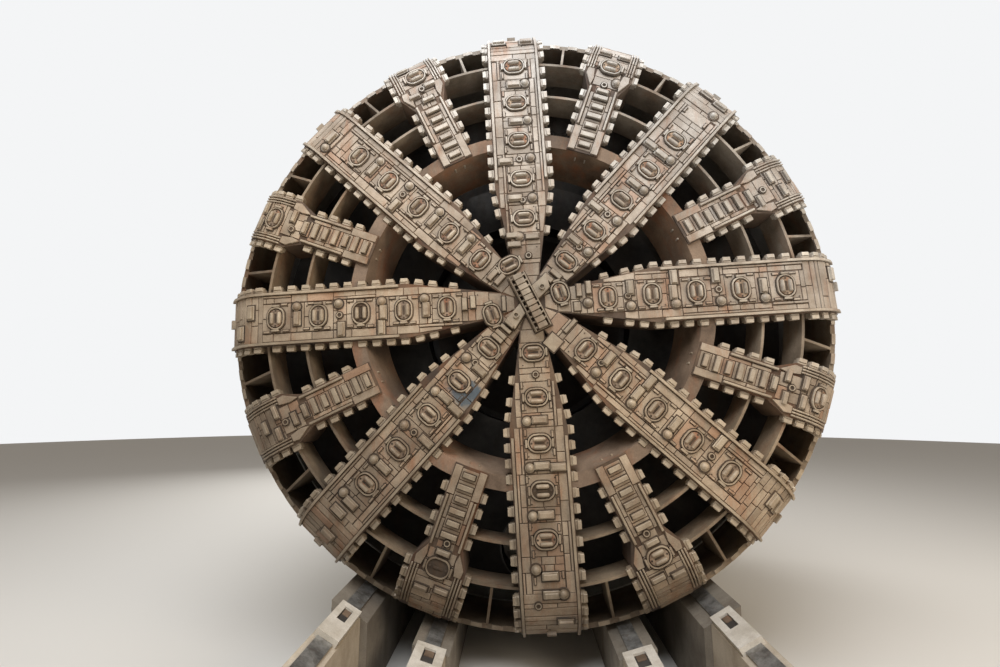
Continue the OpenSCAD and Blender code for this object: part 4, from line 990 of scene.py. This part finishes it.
# %% Short spokes
LADDER_R, LADDER_PITCH, LADDER_N = 4.87, 0.308, 6      # the ladder's innermost bar, spacing, number
SHORT_HEADS = [
    # what stands on each short spoke's head: form, run along the spoke, across
    [(ring, 7.20, 0.0), (slim, 6.78, 0.0), (slim, 6.98, -0.26), (slim, 7.55, 0.24),
     (slim, 7.72, -0.24), (slim, 8.10, 0.10)],
    [(ring, 6.84, 0.02), (dome, 7.00, -0.30), (slim, 7.92, 0.30), (slim, 7.92, -0.30),
     (slim, 6.62, 0.0)],
    [(ring, 7.20, 0.0), (slim, 7.06, 0.30), (slim, 7.24, -0.27), (slim, 6.82, -0.04),
     (slim, 8.12, 0.28)],
    [(slim, 7.16, -0.22), (ring, 7.10, 0.16), (slim, 6.74, 0.0), (slim, 8.14, 0.26),
     (slim, 8.14, -0.26)],
    [(ring, 7.28, 0.06), (slim, 7.02, 0.08), (slim, 7.55, 0.28), (slim, 7.86, -0.04),
     (slim, 7.44, -0.30), (slim, 6.70, 0.0)],
    [(ring, 6.60, 0.02), (slim, 6.845, 0.0), (slim, 7.72, 0.26), (slim, 7.80, -0.26)],
    [(ring, 6.60, -0.02), (slim, 6.845, 0.0), (slim, 7.76, 0.26), (slim, 7.66, -0.26)],
    [(ring, 7.15, 0.02), (slim, 7.00, 0.32), (slim, 7.04, -0.30), (slim, 7.46, 0.26),
     (slim, 7.50, -0.24), (slim, 6.70, 0.0)],
]
WEDGE = [(6.75, 0.42), (7.10, 0.64), (7.28, 0.62), (7.28, 0.44), (6.98, 0.38)]    # run, across
HEAD_ROWS = ((6.58, 6.80, 0.235), (6.80, 7.08, 0.37), (7.08, 7.40, 0.37))     # from, to, half width
SIDE_PLATES = ((4.68, 5.42, 0.435, 0.036), (5.45, 6.03, 0.325, 0.022), (6.06, 6.56, 0.325, 0.032))
RIDGES = (0.50, 0.58, 0.66)            # how far the three ridges stand across the head
RIDGE_HALF, RIDGE_TOP = 0.022, 0.058
RIDGE_STEPS = (0, 1, 2)                # the steps of the bend that they follow
plates, bits = bmesh.new(), bmesh.new()
layers["steel"] = bmesh.new()
for k in range(MAIN_N):
    place = spoke_at((k + 0.5) * MAIN_STEP)
    for i in range(LADDER_N):
        r = LADDER_R + LADDER_PITCH * i
        half = 0.21 if i % 2 else 0.165
        block(bits, place, (r - 0.060, -half, -0.01), (r + 0.060, half, 0.115))
        thick = dice.uniform(0.012, 0.026)
        block(plates, place, (r - 0.143, -0.222, SUNK), (r + 0.143, 0.222, thick))
        # a dark foot of soil and painted shade round each bar
        soil_and_shade_block(place @ Matrix.Translation((r, 0, 0)), 0.060, half, 0.024)
    for form, run, across in SHORT_HEADS[k]:
        plant(form, on_spoke(k + 0.5, run, across, FORM_LIFT))
    for x0, x1, half in HEAD_ROWS:
        for y0, y1 in split(-half, half, dice.choice((1, 2, 3))):
            thick = dice.uniform(0.014, 0.030)
            block(plates, place, (x0 + SEAM, y0 + SEAM, SUNK), (x1 - SEAM, y1 - SEAM, thick))
    for side in (-1, 1):
        flip = place @ (MIRROR if side < 0 else FLAT)
        for x0, x1, y1, thick in SIDE_PLATES:
            block(plates, flip, (x0, 0.240, SUNK), (x1, y1, thick + dice.uniform(-0.005, 0.005)))
        block(bits, flip, (5.46, 0.352, SUNK), (6.72, 0.412, 0.080))
        prism(plates, flip, WEDGE, SUNK, 0.060)
        for y in RIDGES:
            y0, y1 = y - RIDGE_HALF, y + RIDGE_HALF
            block(bits, flip, (7.30, y0, SUNK), (FLAT_R, y1, RIDGE_TOP))
            for step in RIDGE_STEPS:
                at = bend_place(flip, step)
                block(bits, at, (-STEP_L / 2, y0, SUNK), (STEP_L / 2, y1, RIDGE_TOP))
        # lifting lugs on the inner end, behind the face
        block(bits, flip, (SHORT_IN_R - 0.085, 0.12, -0.42), (SHORT_IN_R + 0.03, 0.17, -0.25))
soften(plates, PLATE_EDGE)
soften(bits, 0.010)
piece("short_plates", plates, wear_plate, "cutterhead")
piece("short_bars", bits, worn_bar, "cutterhead")
piece("short_head_blocks", layers["steel"], worn_bar, "cutterhead")

# %% [markdown]
# ## The hub
# In the middle a long stepped bit stands out of the face, in line with two short spokes, with
# stepped plates along it and dark pockets down both sides. Two raised plates with lifting
# rings lie beside it, and the roots of the spokes are covered by wedge-shaped wear plates.

# %% Centre bit
BIT_TURN = -67.0           # the bit's direction, from spoke 0
BIT_L, BIT_W, BIT_H = 1.64, 0.48, 0.38
STEP_N = 10                # stepped plates along its back
LOST_RIBS = (3, 4, 9)      # places on one side where the rib between two pockets is gone
bit_place = spoke_at(BIT_TURN)
half_l, half_w = BIT_L / 2, BIT_W / 2
bm = bmesh.new()
slab(bm, bit_place, half_l, half_w, SUNK, 0.090)
slab(bm, bit_place, half_l - 0.02, 0.105, 0.05, BIT_H - 0.10)
for side in (-1, 1):
    wall = side * 0.212
    block(bm, bit_place, (-half_l, wall - 0.018, 0.05), (half_l, wall + 0.018, 0.205))
for i in range(STEP_N):
    x = -BIT_L / 2 + (i + 0.5) * BIT_L / STEP_N
    top = BIT_H - 0.014 * abs(i - (STEP_N - 1) / 2)
    block(bm, bit_place, (x - 0.070, -0.125, BIT_H - 0.16), (x + 0.070, 0.125, top))
    for side in (-1, 1):
        if side < 0 or i not in LOST_RIBS:
            rib = side * 0.155
            block(bm, bit_place, (x - 0.024, rib - 0.045, 0.07), (x + 0.024, rib + 0.045, 0.225))
soften(bm, 0.007)
# dark soil and painted shade in the pockets down both sides, and round the bit's foot
slab(soil_and_shade, bit_place, half_l - 0.01, 0.20, 0.05, 0.115)
slab(soil_and_shade, bit_place, half_l + 0.04, half_w + 0.04, SOIL_AND_SHADE_FOOT, 0.040)
centre_bit = piece("centre_bit_forged", bm, worn_bar, "cutterhead")
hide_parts("centre_bit")

# %% Hub plates
hub = spoke_at(0)
RAISED = [
    # outline, then where the lifting ring stands
    ([(0.488, 0.763), (0.568, 0.368), (0.232, 0.055), (0.077, 0.439)], (0.354, 0.383)),
    ([(-0.269, -0.036), (-0.143, -0.315), (-0.458, -0.735), (-0.694, -0.475)], (-0.398, -0.360)),
]
RAISED_TOP = 0.150
WEDGE_ROWS = ((0.42, 0.74), (0.76, 1.10))          # the radii between which the wedges lie
HALF_STEP = math.radians(MAIN_STEP / 2)
flats, raised = bmesh.new(), bmesh.new()
layers["steel"] = bmesh.new()
for corners, (x, y) in RAISED:
    prism(raised, hub, corners, SUNK, RAISED_TOP)
    wider = [(x + (a - x) * 1.13, y + (b - y) * 1.13) for a, b in corners]
    # a dark foot of soil and painted shade round each raised plate
    prism(soil_and_shade, hub, wider, SOIL_AND_SHADE_FOOT, 0.042)
    plant({"steel": ring["steel"]}, hub @ Matrix.Translation((x, y, RAISED_TOP)))
for k in range(MAIN_N):
    place = spoke_at(k * MAIN_STEP)
    for r0, r1 in WEDGE_ROWS:
        h0, h1 = (r * math.tan(HALF_STEP) - 0.014 for r in (r0, r1))
        h1 = min(h1, half_width(r1) - 0.05)
        thick = dice.uniform(0.010, 0.022)
        prism(flats, place, [(r0, -h0), (r1, -h1), (r1, h1), (r0, h0)], SUNK, thick)
soften(flats, PLATE_EDGE)
soften(raised, 0.012)
piece("hub_wedges", flats, wear_plate, "cutterhead")
piece("hub_plates", raised, worn_bar, "cutterhead")

# %% What stands on the hub
HUB_BLOCKS = [
    # x, y, turned, length, width, height
    (-0.343, 1.926, 90, 0.36, 0.14, 0.12), (-0.322, 1.663, 90, 0.36, 0.14, 0.12),
    (0.190, 1.862, 90, 0.36, 0.14, 0.12), (0.537, 0.638, 45, 0.30, 0.13, 0.13),
    (0.765, 0.737, 45, 0.34, 0.13, 0.12), (-0.584, -0.584, 225, 0.28, 0.10, 0.21),
    (-0.697, -0.697, 225, 0.34, 0.10, 0.12), (-0.841, -0.841, 225, 0.34, 0.12, 0.12),
    (-0.938, -0.938, 225, 0.34, 0.12, 0.12), (1.349, 0.242, 0, 0.34, 0.13, 0.12),
    (1.610, 0.300, 0, 0.34, 0.13, 0.12), (-0.968, 0.830, 135, 0.34, 0.14, 0.12),
    (-0.778, 0.689, 135, 0.34, 0.14, 0.11), (0.551, -1.140, -45, 0.40, 0.40, 0.050),
    (1.039, -0.731, -45, 0.44, 0.10, 0.070), (-0.707, 0.002, 0, 0.40, 0.10, 0.080),
    (1.276, -0.203, 0, 0.24, 0.18, 0.060), (-1.55, 0.10, 0, 0.34, 0.13, 0.12),
    (-1.78, 0.06, 0, 0.34, 0.13, 0.12),
]
bm = bmesh.new()
for x, y, turn, length, width, height in HUB_BLOCKS:
    at = hub @ Matrix.Translation((x, y, 0)) @ Matrix.Rotation(math.radians(turn), 4, "Z")
    slab(bm, at, width / 2, length / 2, SUNK, height)
    # a dark foot of soil and painted shade round each block
    soil_and_shade_block(at, width / 2, length / 2)
soften(bm, 0.012)
piece("hub_bars", bm, worn_bar, "cutterhead")
HUB_FORMS = ((dome, 1.573, -0.123), (ring, 0.054, 1.325), (dome, -0.16, 1.88))     # form, x, y
for form, x, y in HUB_FORMS:
    plant(form, hub @ Matrix.Translation((x, y, 0.008)))
piece("hub_rings", layers["steel"], worn_bar, "cutterhead")
# one piece holds all the dark feet: packed soil and painted shade
piece("packed_soil_and_shade", soil_and_shade, packed_soil_and_shade, "cutterhead")

# %% [markdown]
# ## Hatches in the bulkhead
# Round plated hatches with a ring of bolts close the inspection holes in the pressure wall
# behind the head, and three of them show through the upper gaps.

# %% Bulkhead hatches
BULK_Y = -3.40             # the bulkhead's front
BOLT_N = 12
HATCHES = [(1.25, 17.36, 0.38), (-3.985, 16.79, 0.35), (6.23, 15.51, 0.28)]     # x, z, radius


def hatch_shape(bm):
    """A hatch of radius 1: a flange, a cover on it and a ring of bolts."""
    disc(bm, FLAT, (0, 0, SUNK), 1.0, 0.10, segments=28)
    disc(bm, FLAT, (0, 0, 0.06), 0.78, 0.08, segments=28, r_top=0.70)
    for i in range(BOLT_N):
        a = math.radians(360 / BOLT_N * i)
        disc(bm, FLAT, (0.89 * math.cos(a), 0.89 * math.sin(a), 0.07), 0.055, 0.06, segments=6)


hatch = template(hatch_shape)
bm = bmesh.new()
for x, z, r in HATCHES:
    stamp(bm, hatch, Matrix.Translation((x, BULK_Y, z)) @ Matrix.Rotation(math.radians(90), 4, "X")
          @ Matrix.Scale(r, 4))
# the hatches take the bulkhead's finish: soil and painted shade
piece("bulkhead_hatches", bm, caked_and_shaded_plate, "shield")

# %% [markdown]
# ## Packing in the saddle boxes
# The white boxes that straddle the front rails have a sunk window, and rusty packing plates lie in
# it over a dark floor, which is painted shade of the deep window. The plates stop short of the
# box's top, so that the window stays a window.

# %% Packing plates
BOX_TOP_R = 8.765          # radius of a saddle box's top round the machine's axis
FLOOR_R = BOX_TOP_R + 0.066            # and of the window's floor
# each window's angle off the bottom, and half its width
WINDOWS = ((-16, 0.134), (16, 0.134), (-30, 0.098), (30, 0.098))
plates, window_shade = bmesh.new(), bmesh.new()
for angle, half in WINDOWS:
    place = HEAD @ Matrix.Rotation(math.radians(-90 + angle), 4, "Z")
    block(plates, place, (BOX_TOP_R + 0.026, -half * 0.8, 0.640), (FLOOR_R, half * 0.9, 0.880))
    # the window's dark floor: painted shade
    block(window_shade, place, (BOX_TOP_R + 0.046, -half - 0.006, 0.604), (FLOOR_R, half + 0.006, 1.196))
soften(plates, 0.004)
soften(window_shade, 0.004)
piece("box_packing", plates, primed_steel, "shield")
piece("box_window_shade", window_shade, caked_and_shaded_plate, "shield")

# %% [markdown]
# ## Seams and plugs of the shield
# The shield's sections are rolled plates with a weld bead all round each joint and along each
# plate's edge, and screwed plugs close the holes through which grease and grout go outside.
# A bead's section is spun once round the machine's axis, and use_merge closes the hoop.

# %% Shield seams and plugs
AXIS_Z = spin_joint["pos_m"][2]
LIMIT_R = 8.70             # trim on the skins stays inside this radius
BED = 0.02                 # how deep a bead or a plug sits in the skin
PLATE_N, PLUG_N = 6, 12    # plates and plugs round each shield
HOOP_STEPS = 96            # flat steps in which a bead goes round


def hoop(bm, y, r, width, height):
    """A low bead right round the machine's axis."""
    top = r + height
    section = [(r - BED, -width / 2), (top, -width / 4), (top, width / 4), (r - BED, width / 2)]
    verts = [bm.verts.new((x, y + dy, AXIS_Z)) for x, dy in section]
    edges = [bm.edges.new((verts[i], verts[(i + 1) % 4])) for i in range(4)]
    bmesh.ops.spin(bm, geom=verts + edges, cent=(0, y, AXIS_Z), axis=(0, 1, 0), angle=2 * math.pi,
                   steps=HOOP_STEPS, use_merge=True)


bm = bmesh.new()
for n, name in enumerate(("front_shield", "middle_shield", "tail_skin")):
    low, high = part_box(name)
    r, y0, y1 = high[0], low[1], high[1]
    middle, room = (y0 + y1) / 2, LIMIT_R - r
    for y in (y0 + 0.06, middle, y1 - 0.06):
        hoop(bm, y, r, 0.06, min(0.014, room))
    for i in range(PLATE_N):
        turn = 360 / PLATE_N * i
        # the front half's plates end at other angles than the rear half's
        for angle, ya, yb in ((10 + turn, y0, middle), (40 + turn, middle, y1)):
            place = (Matrix.Translation((0, 0, AXIS_Z))
                     @ Matrix.Rotation(math.radians(angle + 12 * n), 4, "Y"))
            block(bm, place, (-0.028, ya + 0.09, r - BED), (0.028, yb - 0.09, r + min(0.012, room)))
    for i in range(PLUG_N):
        place = (Matrix.Translation((0, y0 + 0.28 * (y1 - y0), AXIS_Z))
                 @ Matrix.Rotation(math.radians(15 + 360 / PLUG_N * i), 4, "Y")
                 @ Matrix.Translation((0, 0, r)))
        disc(bm, place, (0, 0, -BED), 0.10, BED + min(0.016, room), segments=18)
        disc(bm, place, (0, 0, -BED / 2), 0.045, BED / 2 + min(0.024, room), segments=6)
piece("shield_seams", bm, shield_paint, "shield")
